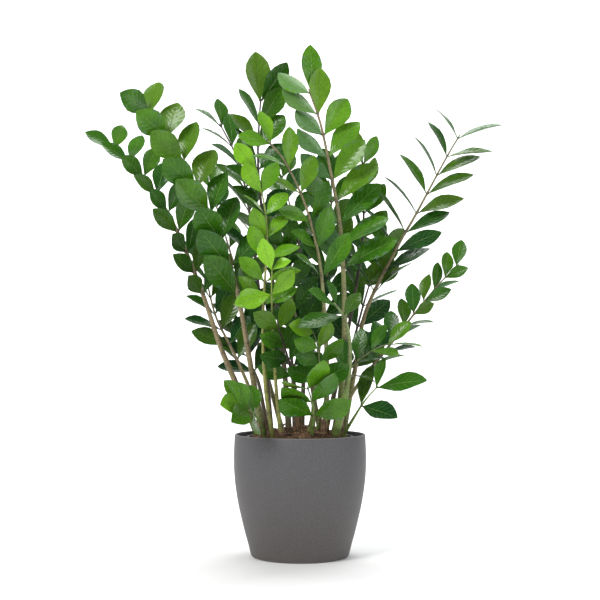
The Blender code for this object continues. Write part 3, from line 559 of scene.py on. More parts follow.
def whole_numbers(items, field, each=1):
    """A whole-number field of all the points, corners, edges or faces of a mesh, as one array."""
    values = np.empty(len(items) * each, np.int32)
    items.foreach_get(field, values)
    return values


def grid_uv(across, along):
    """Map places of a grid's points, from a number for each column and one for each row."""
    return np.stack(np.broadcast_arrays(across, np.asarray(along)[:, None]), axis=-1).reshape(-1, 2)


def add_uv(mesh, uv_points):
    """The piece's own map, given for its points and copied to its face corners."""
    layer = mesh.uv_layers.new(name="UVMap")
    at_corners = uv_points[whole_numbers(mesh.loops, "vertex_index")]
    layer.uv.foreach_set("vector", at_corners.astype(np.float32).ravel())


def add_colours(mesh, name, values, domain="POINT"):
    """An attribute of four numbers for each point or face corner."""
    layer = mesh.color_attributes.new(name=name, type="FLOAT_COLOR", domain=domain)
    full = np.ones((len(values), 4), np.float32)
    full[:, : values.shape[1]] = values
    layer.data.foreach_set("color", full.ravel())


# ---------------------------------------------------------------- node tools

class Nodes:
    """Adds nodes to one tree, with their inputs given as values or as sockets to link."""

    def __init__(self, tree):
        self.tree = tree

    def add(self, kind, inputs=None, **settings):
        """A node of one kind, with its settings and its inputs."""
        node = self.tree.nodes.new("ShaderNode" + kind)
        for key, value in settings.items():
            setattr(node, key, value)
        for key, value in (inputs or {}).items():
            self.set(node.inputs[key], value)
        return node

    def set(self, socket, value):
        """Links a socket to another one, or gives it a plain value."""
        if isinstance(value, bpy.types.NodeSocket):
            self.tree.links.new(value, socket)
        else:
            socket.default_value = value

    def group(self, name, inputs):
        """The outputs of a node group."""
        return self.add("Group", inputs, node_tree=bpy.data.node_groups[name]).outputs

    def place(self):
        """The object's own space."""
        return self.add("TexCoord").outputs["Object"]

    def uv(self):
        """The piece's own map."""
        return self.add("UVMap", uv_map="UVMap").outputs[0]

    def parts(self, vector):
        """The x, y and z of a vector."""
        return tuple(self.add("SeparateXYZ", {0: vector}).outputs)

    def grain(self, grain_scale, drift_scale):
        """The fine grain group at two scales, in the object's own space."""
        inputs = {"Place": self.place(), "Grain Scale": grain_scale, "Drift Scale": drift_scale}
        return self.group("fine_grain", inputs)

    def math(self, operation, a, b=0.0, c=0.0, clamp=False):
        """One step of arithmetic."""
        return self.add("Math", {0: a, 1: b, 2: c}, operation=operation, use_clamp=clamp).outputs[0]

    def scaled(self, value, factor, plus=0.0, clamp=False):
        """value * factor + plus."""
        return self.math("MULTIPLY_ADD", value, factor, plus, clamp)

    def between(self, value, low, high):
        """0 below low, 1 above high, smooth in between."""
        inputs = {0: value, 1: low, 2: high}
        return self.add("MapRange", inputs, interpolation_type="SMOOTHSTEP").outputs[0]

    def noise(self, place, scale, detail=2.0, roughness=0.5):
        """Cloudy noise about 0.5."""
        inputs = {"Vector": place, "Scale": scale, "Detail": detail, "Roughness": roughness}
        return self.add("TexNoise", inputs).outputs["Fac"]

    def streaks(self, across, along, scale):
        """Fine noise in the piece's own map, drawn out across or along it."""
        place = self.add("Mapping", {"Vector": self.uv(), "Scale": (across, along, 1.0)}).outputs[0]
        return self.noise(place, scale, 4.0, 0.65)

    def mix(self, share, a, b, blend="MIX"):
        """Colour a turned into colour b by a share. Plain colours are made opaque."""
        node = self.add("Mix", data_type="RGBA", blend_type=blend)
        for number, value in ((0, share), (6, opaque(a)), (7, opaque(b))):
            self.set(node.inputs[number], value)
        return node.outputs[2]

    def speckle(self, colour, grain, contrast):
        """A colour multiplied by 1 + contrast (grain - 0.5)."""
        value = self.scaled(grain, contrast, 1 - contrast / 2)
        grey = self.add("CombineColor", {0: value, 1: value, 2: value}).outputs[0]
        return self.mix(1.0, colour, grey, "MULTIPLY")

    def ramp(self, value, stops):
        """A colour read off a row of (position, colour) by a number."""
        node = self.add("ValToRGB", {0: value})
        ramp = node.color_ramp
        while len(ramp.elements) < len(stops):
            ramp.elements.new(0.5)
        for element, (position, colour) in zip(ramp.elements, stops):
            element.position = position
            element.color = opaque(colour)
        return node.outputs[0]


def opaque(colour):
    """A plain colour with full alpha. A socket stays as it is."""
    return colour if isinstance(colour, bpy.types.NodeSocket) else (*tuple(colour)[:3], 1.0)


def new_material(name):
    """A material with one Principled shader, as its nodes and that shader."""
    surface = bpy.data.materials.new(name)
    surface.use_nodes = True
    return surface, Nodes(surface.node_tree), surface.node_tree.nodes["Principled BSDF"]


def finish_shader(nodes, shader, colour, roughness, height, strength, depth):
    """Links a colour and a roughness to the shader, and a height to its normal as a bump."""
    nodes.set(shader.inputs["Base Color"], colour)
    nodes.set(shader.inputs["Roughness"], roughness)
    bump = nodes.add("Bump", {"Height": height, "Strength": strength, "Distance": depth})
    nodes.set(shader.inputs["Normal"], bump.outputs[0])


def new_group(name, inputs, outputs):
    """An empty node group with named sockets, as its nodes, what it is given and what it gives out."""
    tree = bpy.data.node_groups.new(name, "ShaderNodeTree")
    for label, kind, default in inputs:
        socket = tree.interface.new_socket(label, in_out="INPUT", socket_type="NodeSocket" + kind)
        if default is not None:
            socket.default_value = default
    for label in outputs:
        tree.interface.new_socket(label, in_out="OUTPUT", socket_type="NodeSocketFloat")
    given, out = tree.nodes.new("NodeGroupInput"), tree.nodes.new("NodeGroupOutput")
    return Nodes(tree), given.outputs, out.inputs


def make_fine_grain_group():
    """Small speckle and slow drift, from two sizes of noise."""
    nodes, given, out = new_group(
        "fine_grain",
        [("Place", "Vector", None), ("Grain Scale", "Float", 900.0), ("Drift Scale", "Float", 9.0)],
        ["Grain", "Drift"],
    )
    nodes.set(out["Grain"], nodes.noise(given["Place"], given["Grain Scale"], 3.0, 0.6))
    nodes.set(out["Drift"], nodes.noise(given["Place"], given["Drift Scale"], 3.0, 0.55))


def make_leaf_veins_group():
    """A pale midrib down the middle, side veins that run forward from it to the edge, and the
    swelling between them as the sine of the run along the blade."""
    nodes, given, out = new_group(
        "leaf_veins",
        [("UV", "Vector", None), ("Pairs", "Float", 9.0), ("Lean", "Float", 0.55)],
        ["Midrib", "Veins", "Quilt"],
    )
    across, along, _ = nodes.parts(given["UV"])
    off = nodes.math("ABSOLUTE", nodes.math("SUBTRACT", across, 0.5))
    beside = nodes.between(nodes.math("DIVIDE", off, nodes.scaled(along, -0.022, 0.036)), 0.35, 1.0)
    run = nodes.math("SUBTRACT", along, nodes.math("MULTIPLY", off, given["Lean"]))
    turned_by = nodes.scaled(nodes.math("MULTIPLY", run, given["Pairs"]), 2 * math.pi)
    wave = nodes.math("SINE", turned_by)
    nodes.set(out["Midrib"], nodes.math("SUBTRACT", 1.0, beside))
    nodes.set(out["Veins"], nodes.between(wave, 0.72, 1.0))
    nodes.set(out["Quilt"], nodes.scaled(wave, -0.5, 0.5))


# ---------------------------------------------------------------- materials

def leaf_material(settings):
    """Waxy green blades: colour by age, pale midrib and underside, faint quilting, clear gloss."""
    surface, nodes, shader = new_material("leaf_wax")
    marks = nodes.add("Attribute", attribute_name="blade").outputs["Color"]
    own_age, below, chance = tuple(nodes.add("SeparateColor", {0: marks}).outputs)
    grain = nodes.grain(260.0, 26.0)
    veins = nodes.group("leaf_veins", {"UV": nodes.uv(), "Pairs": 8.0, "Lean": 0.5})
    age = nodes.scaled(nodes.math("SUBTRACT", grain["Drift"], 0.5), 0.42, own_age)
    colour = nodes.ramp(age, (
        (0.0, settings.old_colour), (0.42, settings.grown_colour), (0.72, settings.fresh_colour),
        (1.0, settings.young_colour),
    ))
    pale = nodes.mix(0.42, colour, settings.rib_colour)
    line = nodes.scaled(veins["Veins"], 0.24, nodes.scaled(veins["Midrib"], 0.85), clamp=True)
    colour = nodes.mix(line, colour, pale)
    olive = nodes.scaled(nodes.between(chance, 0.55, 1.0), 0.45)
    colour = nodes.mix(olive, colour, settings.olive_colour)
    colour = nodes.mix(below, colour, nodes.mix(0.48, colour, settings.underside_colour))
    colour = nodes.speckle(colour, grain["Grain"], 0.7)
    rough = nodes.scaled(below, 0.22, nodes.scaled(grain["Drift"], 0.22, settings.roughness - 0.1))
    shader.inputs["Specular IOR Level"].default_value = settings.shine
    height = nodes.scaled(veins["Quilt"], 0.10, nodes.scaled(grain["Drift"], 1.7))
    height = nodes.scaled(veins["Midrib"], -0.7, height)
    finish_shader(nodes, shader, colour, rough, height, 0.8, 1.8 * MM)
    return surface


def stalk_material(settings):
    """Smooth fleshy skin with short dark flecks, brown drift in patches, and dark rings at its nodes."""
    surface, nodes, shader = new_material("stalk_skin")
    skin = nodes.add("Attribute", attribute_name="skin").outputs
    grain = nodes.grain(420.0, 38.0)
    bands = nodes.streaks(2.4, 17.0, 2.2)
    fleck = nodes.math("MULTIPLY", nodes.between(bands, 0.5, 0.6), nodes.between(grain["Drift"], 0.3, 0.52))
    fading = nodes.scaled(nodes.parts(nodes.uv())[1], -0.03, settings.fleck_strength)
    brown = nodes.scaled(nodes.between(grain["Drift"], 0.5, 0.68), 0.4)
    colour = nodes.mix(brown, skin["Color"], settings.patch_colour)
    colour = nodes.mix(nodes.math("MULTIPLY", fleck, fading), colour, settings.fleck_colour)
    colour = nodes.mix(nodes.scaled(skin["Alpha"], 0.6), colour, settings.fleck_colour)
    colour = nodes.speckle(colour, grain["Grain"], 0.6)
    rough = nodes.scaled(grain["Drift"], 0.25, settings.roughness - 0.1)
    finish_shader(nodes, shader, colour, rough, bands, 0.5, 0.9 * MM)
    return surface


def pot_material(settings):
    """Matte moulded plastic: fine grain; painted light, cooler towards the top and warmer towards the foot;
    a painted highlight on the lip of the rim; lighter at the foot.
    """
    surface, nodes, shader = new_material("pot_plastic")
    grain = nodes.grain(480.0, 6.0)
    height = nodes.parts(nodes.place())[2]
    # Painted highlight along the lip of the rim.
    rim = nodes.between(height, POT_TOP - 2.4 * MM, POT_TOP - 0.6 * MM)
    # Lighter towards the foot.
    foot = nodes.math("SUBTRACT", 1.0, nodes.between(height, 0.5 * MM, 5 * MM))
    # Painted light: a tint that is warmer towards the foot and cooler towards the top, broken up by slow
    # drift.
    low = nodes.math("SUBTRACT", 1.0, nodes.between(height, 0.0, POT_TOP))
    tone = nodes.scaled(nodes.math("SUBTRACT", grain["Drift"], 0.5), 0.8, low, clamp=True)
    colour = nodes.mix(tone, settings.painted_cool_top_light_colour, settings.painted_warm_foot_light_colour)
    # The painted highlight on the lip, then the lighter foot, both in the edge colour.
    colour = nodes.mix(nodes.scaled(rim, 0.5), colour, settings.painted_lip_highlight_and_foot_colour)
    colour = nodes.mix(nodes.scaled(foot, 0.4), colour, settings.painted_lip_highlight_and_foot_colour)
    colour = nodes.speckle(colour, grain["Grain"], 1.1)
    rough = nodes.scaled(grain["Grain"], 0.16, settings.roughness - 0.08)
    finish_shader(nodes, shader, colour, rough, grain["Grain"], 0.55, 0.9 * MM)
    return surface


def nursery_material(settings):
    """Thin black plastic with a slight shine and dust in patches."""
    surface, nodes, shader = new_material("nursery_plastic")
    grain = nodes.grain(700.0, 22.0)
    dust = nodes.scaled(nodes.between(grain["Drift"], 0.5, 0.75), 0.35)
    colour = nodes.mix(dust, settings.nursery_colour, settings.dust_colour)
    rough = nodes.scaled(grain["Drift"], 0.3, 0.5)
    finish_shader(nodes, shader, colour, rough, grain["Grain"], 0.2, 0.3 * MM)
    return surface


def soil_material(name, dark, pale, scale):
    """Crumbly mix: dark and pale brown crumbs, rough and broken up."""
    surface, nodes, shader = new_material(name)
    grain = nodes.grain(scale, 60.0)
    cells = nodes.add("TexVoronoi", {"Vector": nodes.place(), "Scale": scale * 0.9}, feature="F1").outputs
    crumb = nodes.add("SeparateColor", {0: cells["Color"]}).outputs[0]
    share = nodes.scaled(crumb, 0.7, nodes.scaled(grain["Drift"], 1.0, -0.36), clamp=True)
    rough = nodes.scaled(grain["Grain"], 0.2, 0.8)
    height = nodes.scaled(grain["Grain"], 0.8, cells["Distance"])
    finish_shader(nodes, shader, nodes.mix(share, dark, pale), rough, height, 0.9, 1.8 * MM)
    return surface


def fibre_material(name, dark, pale):
    """Dry plant fibre: dark and pale streaks along the piece's own length."""
    surface, nodes, shader = new_material(name)
    grain = nodes.grain(500.0, 90.0)
    streak = nodes.between(nodes.streaks(15.0, 1.6, 1.0), 0.36, 0.64)
    share = nodes.scaled(streak, 0.75, nodes.scaled(grain["Drift"], 1.1, -0.45), clamp=True)
    rough = nodes.scaled(grain["Grain"], 0.3, 0.6)
    finish_shader(nodes, shader, nodes.mix(share, dark, pale), rough, streak, 0.9, 1.2 * MM)
    return surface


def stage_material(name, colour):
    """Pale paper with the faintest drift in tone."""
    surface, nodes, shader = new_material(name)
    drift = nodes.scaled(nodes.noise(nodes.place(), 0.7), 0.02)
    nodes.set(shader.inputs["Base Color"], nodes.mix(drift, colour, (0.9, 0.9, 0.9)))
    shader.inputs["Roughness"].default_value = 0.9
    return surface


# ---------------------------------------------------------------- pieces

def smooth_profile(profile, per_step):
    """More points on a Catmull-Rom curve through a profile of (radius, height) in millimetres."""
    points = np.array([(r * MM, z * MM, 0.0) for r, z in profile])
    return smooth_line(points, per_step * len(profile))[0][:, :2]


def pot_piece(surface):
    """A closed profile turned about the z axis, with a rounded foot and rim."""
    turn = np.linspace(0, math.pi, 9)
    middle, half = np.array(POT_RIM) * MM
    rim = middle + half * np.stack([np.cos(turn), np.sin(turn)], axis=1)
    outside, inside = smooth_profile(POT_OUTSIDE, 6), smooth_profile(POT_INSIDE, 5)
    profile = np.vstack([np.array(POT_FOOT) * MM, outside, rim, inside])
    points, faces = lathe(profile, POT_STEPS_AROUND)
    piece = add_piece("outer_pot_shell", points, faces, surface, ("outer_pot",))
    for many_sided in (piece.data.polygons[0], piece.data.polygons[-1]):
        many_sided.use_smooth = False
    return piece


def soil_height(x, y):
    """A low mound with a lumpy surface: an upturned parabola plus three crossed sine waves."""
    share = np.minimum(1.0, np.hypot(x, y) / SOIL_TOP_RADIUS)
    lumps = np.sin(61 * x + 17 * y) + np.sin(83 * y - 29 * x + 1.0) + np.sin(98 * x + 95 * y)
    return SOIL_EDGE + SOIL_MOUND * (1 - share**2) + 0.9 * MM * lumps * (1 - share**4)


def soil_piece(surface):
    """The mound on a grid of radius and angle, roughened by finer waves, closed under itself."""
    turn = turns(SOIL_STEPS_AROUND)
    radius = np.linspace(1.0, 0.02, SOIL_ROWS)[:, None] * SOIL_TOP_RADIUS
    x, y = radius * np.cos(turn), radius * np.sin(turn)
    rng = np.random.default_rng(SOIL_SEED)
    rough = sum(np.sin(a * x + b * y + c) for a, b, c in rng.uniform(-900, 900, (14, 3))) / 14
    z = soil_height(x, y) + 1.6 * MM * rough * (1 - 0.9 * (radius / SOIL_TOP_RADIUS) ** 8)
    top = np.stack([x, y, z], axis=-1)
    foot = ring_at(SOIL_BOTTOM_RADIUS, SOIL_FOOT, SOIL_STEPS_AROUND)
    edge = ring_at(SOIL_TOP_RADIUS, SOIL_EDGE - 6 * MM, SOIL_STEPS_AROUND)
    points, faces = tube([foot, edge] + list(top))
    return add_piece("soil_mound", points, faces, surface, ("soil",))


def scattered(rng, count, reach):
    """Random places spread evenly over the soil, out to a share of its radius."""
    radius = SOIL_TOP_RADIUS * reach * np.sqrt(rng.uniform(0, 1, count))
    angle = rng.uniform(0, 2 * math.pi, count)
    return np.stack([radius * np.cos(angle), radius * np.sin(angle)], axis=1)


def crumbs_piece(surface, count):
    """Bark crumbs and small clods: six-sided rings narrowing to two tips, flattened and turned at random."""
    rng = np.random.default_rng(CRUMB_SEED)
    centre = scattered(rng, count, 0.95)
    size = (1.2 + 4.2 * rng.uniform(0, 1, count) ** 2.2) * MM
    height = soil_height(centre[:, 0], centre[:, 1]) + 0.25 * size
    rows = ((-0.55, 0.62), (0.05, 1.0), (0.6, 0.55))
    body = [(w * math.cos(a), w * math.sin(a), h) for h, w in rows for a in turns(6)]
    one = np.array([(0.0, 0.0, -1.0)] + body + [(0.0, 0.0, 1.0)])
    local = one[None] * (1 + 0.28 * rng.uniform(-1, 1, (count, len(one), 1)))
    stretch = rng.uniform((0.6, 0.5, 0.3), (1.6, 1.0, 0.65), (count, 3))
    local = local * (stretch * size[:, None])[:, None, :]
    points = turned(local, rng.uniform(0, 2 * math.pi, count), rng.uniform(-0.7, 0.7, count))
    points += np.concatenate([centre, height[:, None]], axis=1)[:, None, :]
    ends = np.concatenate([fan_faces(1, 6, 0)[:, ::-1], fan_faces(13, 6, 19)])
    faces = copies(ends, count, len(one)) + copies(grid_faces(3, 6) + 1, count, len(one))
    return add_piece("soil_crumbs", points.reshape(-1, 3), faces, surface, smooth=False)


def turned(local, about_z, about_x):
    """Points of many small shapes, each turned about its x axis and then about the upright."""
    cx, sx = np.cos(about_x)[:, None], np.sin(about_x)[:, None]
    cz, sz = np.cos(about_z)[:, None], np.sin(about_z)[:, None]
    x, y, z = local[..., 0], local[..., 1], local[..., 2]
    y, z = y * cx - z * sx, y * sx + z * cx
    return np.stack([x * cz - y * sz, x * sz + y * cz, z], axis=-1)


def copies(faces, count, points_each):
    """The faces of one shape, repeated for many copies, as a list."""
    many = faces[None] + (np.arange(count) * points_each)[:, None, None]
    return many.reshape(-1, faces.shape[1]).tolist()


def strips_piece(name, surface, count, lengths, half_widths, highest_arch):
    """Dry strips on the soil. Along each, with t from 0 to 1: a straight run that sways sideways by
    t (1 - t), an arch of height sin(pi t), and a half width that grows with sin(pi t)."""
    rng = np.random.default_rng(STRIP_SEED + count)
    rows = 7
    t = np.linspace(0, 1, rows)
    foot = scattered(rng, count, 0.9)
    length = (lengths[0] + (lengths[1] - lengths[0]) * rng.uniform(0, 1, count) ** 1.6)[:, None] * MM
    heading = rng.uniform(0, 2 * math.pi, count)
    ahead = np.stack([np.cos(heading), np.sin(heading)], axis=1)
    side = np.stack([-ahead[:, 1], ahead[:, 0]], axis=1)
    sway = rng.uniform(-0.7, 0.7, (count, 1)) * length * t * (1 - t)
    flat = foot[:, None] + ahead[:, None] * (length * (t - 0.5))[..., None] + side[:, None] * sway[..., None]
    flat *= np.minimum(1.0, SOIL_TOP_RADIUS * 0.97 / np.linalg.norm(flat, axis=2, keepdims=True))
    arch = rng.uniform(0.0, highest_arch, (count, 1)) * length * np.sin(math.pi * t)
    z = soil_height(flat[..., 0], flat[..., 1]) + 0.9 * MM + arch
    middle = np.concatenate([flat, z[..., None]], axis=2)
    half = rng.uniform(*half_widths, (count, 1)) * MM * (0.25 + 0.75 * np.sin(math.pi * t))
    out = np.concatenate([side, rng.uniform(-0.8, 0.8, (count, 1))], axis=1)[:, None] * half[..., None]
    lift = UP * 0.28 * MM
    ring = np.stack([middle + out, middle + lift, middle - out, middle - lift], axis=2)
    ends = np.array([[3, 2, 1, 0], [(rows - 1) * 4 + k for k in range(4)]])
    one = np.concatenate([grid_faces(rows, 4), ends])
    piece = add_piece(name, ring.reshape(-1, 3), copies(one, count, rows * 4), surface)
    add_uv(piece.data, np.tile(grid_uv((1.0, 0.5, 0.0, 0.5), t), (count, 1)))
    return piece


def sheath_piece(name, stalk, surface):
    """A thin sleeve on a grid of angle and height, open along a slit, flared and torn at the top."""
    tall, slit = SHEATHS[name]
    level = soil_height(*stalk.at(stalk.height_share(SOIL_EDGE + 0.6 * SOIL_MOUND))[0][:2])
    start = stalk.height_share(level - SHEATH_SUNK)
    end = stalk.height_share(level + tall * MM)
    rng = np.random.default_rng(SHEATH_SEED + tall)
    across, rows = np.linspace(0, 1, SHEATH_COLUMNS), np.linspace(0, 1, SHEATH_ROWS)
    turn = np.radians(slit + np.linspace(SLIT_HALF, 360 - SLIT_HALF, SHEATH_COLUMNS))
    torn = 0.11 * np.cos(2.5 * turn) + 0.07 * rng.uniform(-1, 1, len(turn))
    rings = []
    for share in rows:
        s = start + (end - start) * share * (1 - torn * share**3 - 0.1 * share)
        point = read_off(s, stalk.along, stalk.line)
        _, _, upper, side = stalk.at(float(start + (end - start) * share))
        out = np.cos(turn)[:, None] * side - np.sin(turn)[:, None] * upper
        ribs = 0.22 * MM * np.sin(9 * turn)
        radius = (stalk.radius(s) + SHEATH_PLAY + ribs + 1.5 * MM * share**2)[:, None]
        wall = SHEATH_WALL * (1 - 0.5 * share)
        rings.append(np.concatenate([point + out * (radius + wall), (point + out * radius)[::-1]]))
    points, faces = tube(rings)
    piece = add_piece("husk_" + name, points, faces, surface, ("sheath_" + name,))
    add_uv(piece.data, grid_uv(np.concatenate([across, across[::-1]]), rows))
    return piece


def stalk_piece(name, stalk, places, surface):
    """Rings of points carried along the stalk's line. With d the way to a leaflet pair, the radius
    is the stalk's own times 0.94 + NODE_BULGE exp(-(d / NODE_SPREAD)^2)."""
    share = np.linspace(0, 1, max(40, int(stalk.length / STALK_ROW_STEP)))
    line = read_off(share, stalk.along, stalk.line)
    ahead = read_off(share, stalk.along, stalk.slope)
    ahead /= np.linalg.norm(ahead, axis=1, keepdims=True)
    upper = stalk.facing - (ahead @ stalk.facing)[:, None] * ahead
    upper /= np.linalg.norm(upper, axis=1, keepdims=True)
    side = np.cross(ahead, upper)
    off = (share[:, None] - places[None]) * stalk.length
    bulge = np.exp(-((off / NODE_SPREAD) ** 2)).sum(axis=1)
    scars = np.exp(-(((share[:, None] - np.array(SCARS)) * stalk.length / SCAR_SPREAD) ** 2)).sum(axis=1)
    narrow = np.minimum(1, (1.004 - share) * stalk.length / (6 * MM))
    radius = stalk.radius(share) * (0.94 + NODE_BULGE * bulge) * narrow
    turn = turns(STALK_COLUMNS, -0.5)
    out = np.cos(turn)[None, :, None] * side[:, None] - np.sin(turn)[None, :, None] * upper[:, None]
    points, faces = tube(list(line[:, None] + out * radius[:, None, None]))
    piece = add_piece("stalk_" + name, points, faces, surface, ("frond_" + name,))
    add_uv(piece.data, grid_uv(np.linspace(0, 1, STALK_COLUMNS, endpoint=False), share * stalk.length * 10))
    foot, middle, end = (np.array(c) for c in STALK_KINDS[LOOKS[name][1]])
    low = np.clip(share * stalk.length / 0.16 - 0.15, 0, 1)[:, None]
    high = np.clip((share - 0.45) / 0.5, 0, 1)[:, None]
    skin = foot * (1 - low) + middle * low
    skin = skin * (1 - high) + end * high
    ring_marks = np.clip(bulge + scars, 0, 1)[:, None]
    add_colours(piece.data, "skin", np.repeat(np.hstack([skin, ring_marks]), STALK_COLUMNS, axis=0))
    return piece


def leaflets_piece(name, leaflets, surface):
    """Blades: at each share t of the length, a lens-shaped section of half width w(t), folded up
    along the midrib, thin at its edges and waved a little; closed at the foot and at the tip."""
    count, rows, columns = len(leaflets), len(BLADE_ROWS), len(BLADE_ACROSS)
    rng = np.random.default_rng(len(name) * 17 + count)
    blades = [leaflet for _, leaflet in leaflets]
    middle = np.stack([blade.middle(BLADE_ROWS) for blade in blades])[:, :, None]
    across = np.stack([blade.B for blade in blades])[:, None, None]
    above = np.stack([blade.N for blade in blades])[:, None, None]
    width = np.array([blade.width for blade in blades])[:, None] * blade_outline(BLADE_ROWS)[None]
    width = np.maximum(width, 1.3 * MM)[..., None]
    fold = np.array([blade.fold for blade in blades])[:, None, None]
    s = BLADE_ACROSS[None, None]
    rise = 0.35 * np.abs(s) + 0.65 * s**2
    thick = np.interp(BLADE_ROWS, (0, 0.055, 0.2, 1), (1.2, 1.0, 0.5, 0.3))[None, :, None] * MM
    phase = rng.uniform(0, 2 * math.pi, (count, 1, 1))
    wave = 0.07 * np.sin(2 * math.pi * 1.3 * BLADE_ROWS[None, :, None] + phase) * s * np.abs(s)
    up = width * (rise * np.sin(fold) + wave) + BLADE_SIDE[None, None] * thick * (1 - s**2)
    points = middle + across * (width * s * np.cos(fold))[..., None] + above * up[..., None]
    tips = np.stack([blade.middle(1.0) for blade in blades])
    points = np.concatenate([points.reshape(count, -1, 3), tips[:, None]], axis=1)
    each = rows * columns + 1
    faces = copies(grid_faces(rows, columns), count, each)
    faces += copies(fan_faces((rows - 1) * columns, columns, each - 1), count, each)
    faces += copies(np.arange(columns)[None, ::-1], count, each)
    piece = add_piece("leaflets_" + name, points.reshape(-1, 3), faces, surface)
    dress_blades(piece.data, name, leaflets, each)
    return piece


def dress_blades(mesh, name, leaflets, each):
    """Adds the blades' own map, their age, underside and chance, and the sharp line round each edge."""
    columns, count = len(BLADE_ACROSS), len(leaflets)
    uv = np.vstack([grid_uv((BLADE_ACROSS + 1) / 2, BLADE_ROWS), (0.5, 1.0)])
    add_uv(mesh, np.tile(uv, (count, 1)))
    rng = np.random.default_rng(AGE_SEED + len(name))
    chance = rng.uniform(0, 1, count)
    share = np.array([pair for pair, _ in leaflets]) / max(1, FRONDS[name][2] - 1)
    age = LOOKS[name][0] + 0.22 * (share - 0.4) + 0.26 * (chance - 0.5)
    blade, local = np.divmod(whole_numbers(mesh.loops, "vertex_index"), each)
    totals = whole_numbers(mesh.polygons, "loop_total")
    is_low = (BLADE_SIDE[local % columns] < 0) & (local < each - 1)
    starts = np.concatenate([[0], np.cumsum(totals)[:-1]])
    below = np.repeat(np.maximum.reduceat(is_low.astype(float), starts), totals)
    add_colours(mesh, "blade", np.stack([age[blade], below, chance[blade]], axis=1), "CORNER")
    low, high = np.sort(whole_numbers(mesh.edges, "vertices", 2).reshape(-1, 2) % each, axis=1).T
    on_rim = BLADE_SIDE[low % columns] == 0
    same_column = (low - high) % columns == 0
    sharp = mesh.attributes.new("sharp_edge", "BOOLEAN", "EDGE")
    sharp.data.foreach_set("value", on_rim & (same_column | (high == each - 1)))


_grown = {}


def plant():
    """The layout of the plant, worked out once."""
    if not _grown:
        _grown["stalks"], _grown["leaflets"] = grow_plant()
    return _grown["stalks"], _grown["leaflets"]


# ---------------------------------------------------------------- settings

def colour_setting(name, description, default):
    """A colour in linear light."""
    return bpy.props.FloatVectorProperty(
        name=name, description=description, default=default, subtype="COLOR", size=3, min=0.0, max=1.0)


def share_setting(name, description, default):
    """A number from 0 to 1."""
    return bpy.props.FloatProperty(
        name=name, description=description, default=default, subtype="FACTOR", min=0.0, max=1.0)


class PotSettings(bpy.types.PropertyGroup):
    """Finish of the two pots."""

    # Painted light on the pot: a cooler tint towards the top and a warmer one towards the foot.
    painted_cool_top_light_colour: colour_setting("Cool tone", "Painted cooler light towards the pot's top", (0.096, 0.094, 0.101))
    painted_warm_foot_light_colour: colour_setting("Warm tone", "Painted warmer light towards the pot's foot", (0.096, 0.088, 0.085))
    # Painted highlight on the rim's lip; the same colour also lightens the foot.
    painted_lip_highlight_and_foot_colour: colour_setting("Lip highlight and foot", "Painted highlight on the rim's lip, and the lighter foot", (0.24, 0.22, 0.20))
    roughness: share_setting("Roughness", "How matte the plastic is", 0.56)
    nursery_colour: colour_setting("Nursery pot", "Colour of the inner pot", (0.016, 0.016, 0.018))
    dust_colour: colour_setting("Dust", "Colour of the dust on the inner pot", (0.09, 0.07, 0.055))


class LeafSettings(bpy.types.PropertyGroup):
    """Colours and gloss of the leaflets."""

    old_colour: colour_setting("Old leaf", "Colour of the oldest leaflets", (0.005, 0.046, 0.013))
    grown_colour: colour_setting("Grown leaf", "Colour of full-grown leaflets", (0.034, 0.136, 0.005))
    fresh_colour: colour_setting("Fresh leaf", "Colour of fresh leaflets", (0.108, 0.300, 0.009))
    young_colour: colour_setting("Young leaf", "Colour of the youngest leaflets", (0.24, 0.55, 0.020))
    rib_colour: colour_setting("Rib", "Colour of the midrib", (0.30, 0.48, 0.12))
    underside_colour: colour_setting("Underside", "Colour of the undersides", (0.085, 0.185, 0.085))
    olive_colour: colour_setting("Olive leaf", "Colour of olive leaflets", (0.080, 0.125, 0.012))
    roughness: share_setting("Roughness", "How dull the wax is", 0.22)
    shine: share_setting("Shine", "How strongly the wax reflects", 0.30)


class StalkSettings(bpy.types.PropertyGroup):
    """Flecks and finish of the stalks."""

    fleck_colour: colour_setting("Flecks", "Colour of the flecks", (0.065, 0.045, 0.035))
    patch_colour: colour_setting("Patches", "Colour of the brown patches", (0.17, 0.115, 0.06))
    fleck_strength: share_setting("Fleck strength", "How strongly flecks show", 0.85)
    roughness: share_setting("Roughness", "How dull the skin is", 0.45)


class GroundSettings(bpy.types.PropertyGroup):
    """Soil, husks and rhizomes."""

    dark_soil: colour_setting("Dark soil", "Darker crumbs", (0.030, 0.016, 0.009))
    pale_soil: colour_setting("Pale soil", "Paler crumbs", (0.33, 0.19, 0.095))
    dark_husk: colour_setting("Dark husk", "Darker streaks of the husks", (0.055, 0.028, 0.014))
    pale_husk: colour_setting("Pale husk", "Paler streaks of the husks", (0.37, 0.235, 0.135))
    rhizome_colour: colour_setting("Rhizome", "Skin of the rhizomes", (0.45, 0.30, 0.16))
    crumbs: bpy.props.IntProperty(
        name="Crumbs", description="Loose crumbs on the soil", default=900, min=0, max=3000)
    fibres: bpy.props.IntProperty(
        name="Fibres", description="Loose fibres on the soil", default=260, min=0, max=600)
    scraps: bpy.props.IntProperty(
        name="Scraps", description="Loose scraps of husk on the soil", default=34, min=0, max=100)


class StageSettings(bpy.types.PropertyGroup):
    """Floor, lights and camera."""

    floor_colour: colour_setting("Floor", "Colour of the floor and backdrop", (0.93, 0.93, 0.93))
    key_power: bpy.props.FloatProperty(
        name="Key light", description="Power of the main light", default=71.0, min=0.0, subtype="POWER")
    camera_distance: bpy.props.FloatProperty(
        name="Camera distance", description="From the pot's axis", default=2.41, min=0.5, unit="LENGTH")
    camera_height: bpy.props.FloatProperty(
        name="Camera height", description="Above the floor", default=0.406, min=0.0, unit="LENGTH")


# ---------------------------------------------------------------- operators

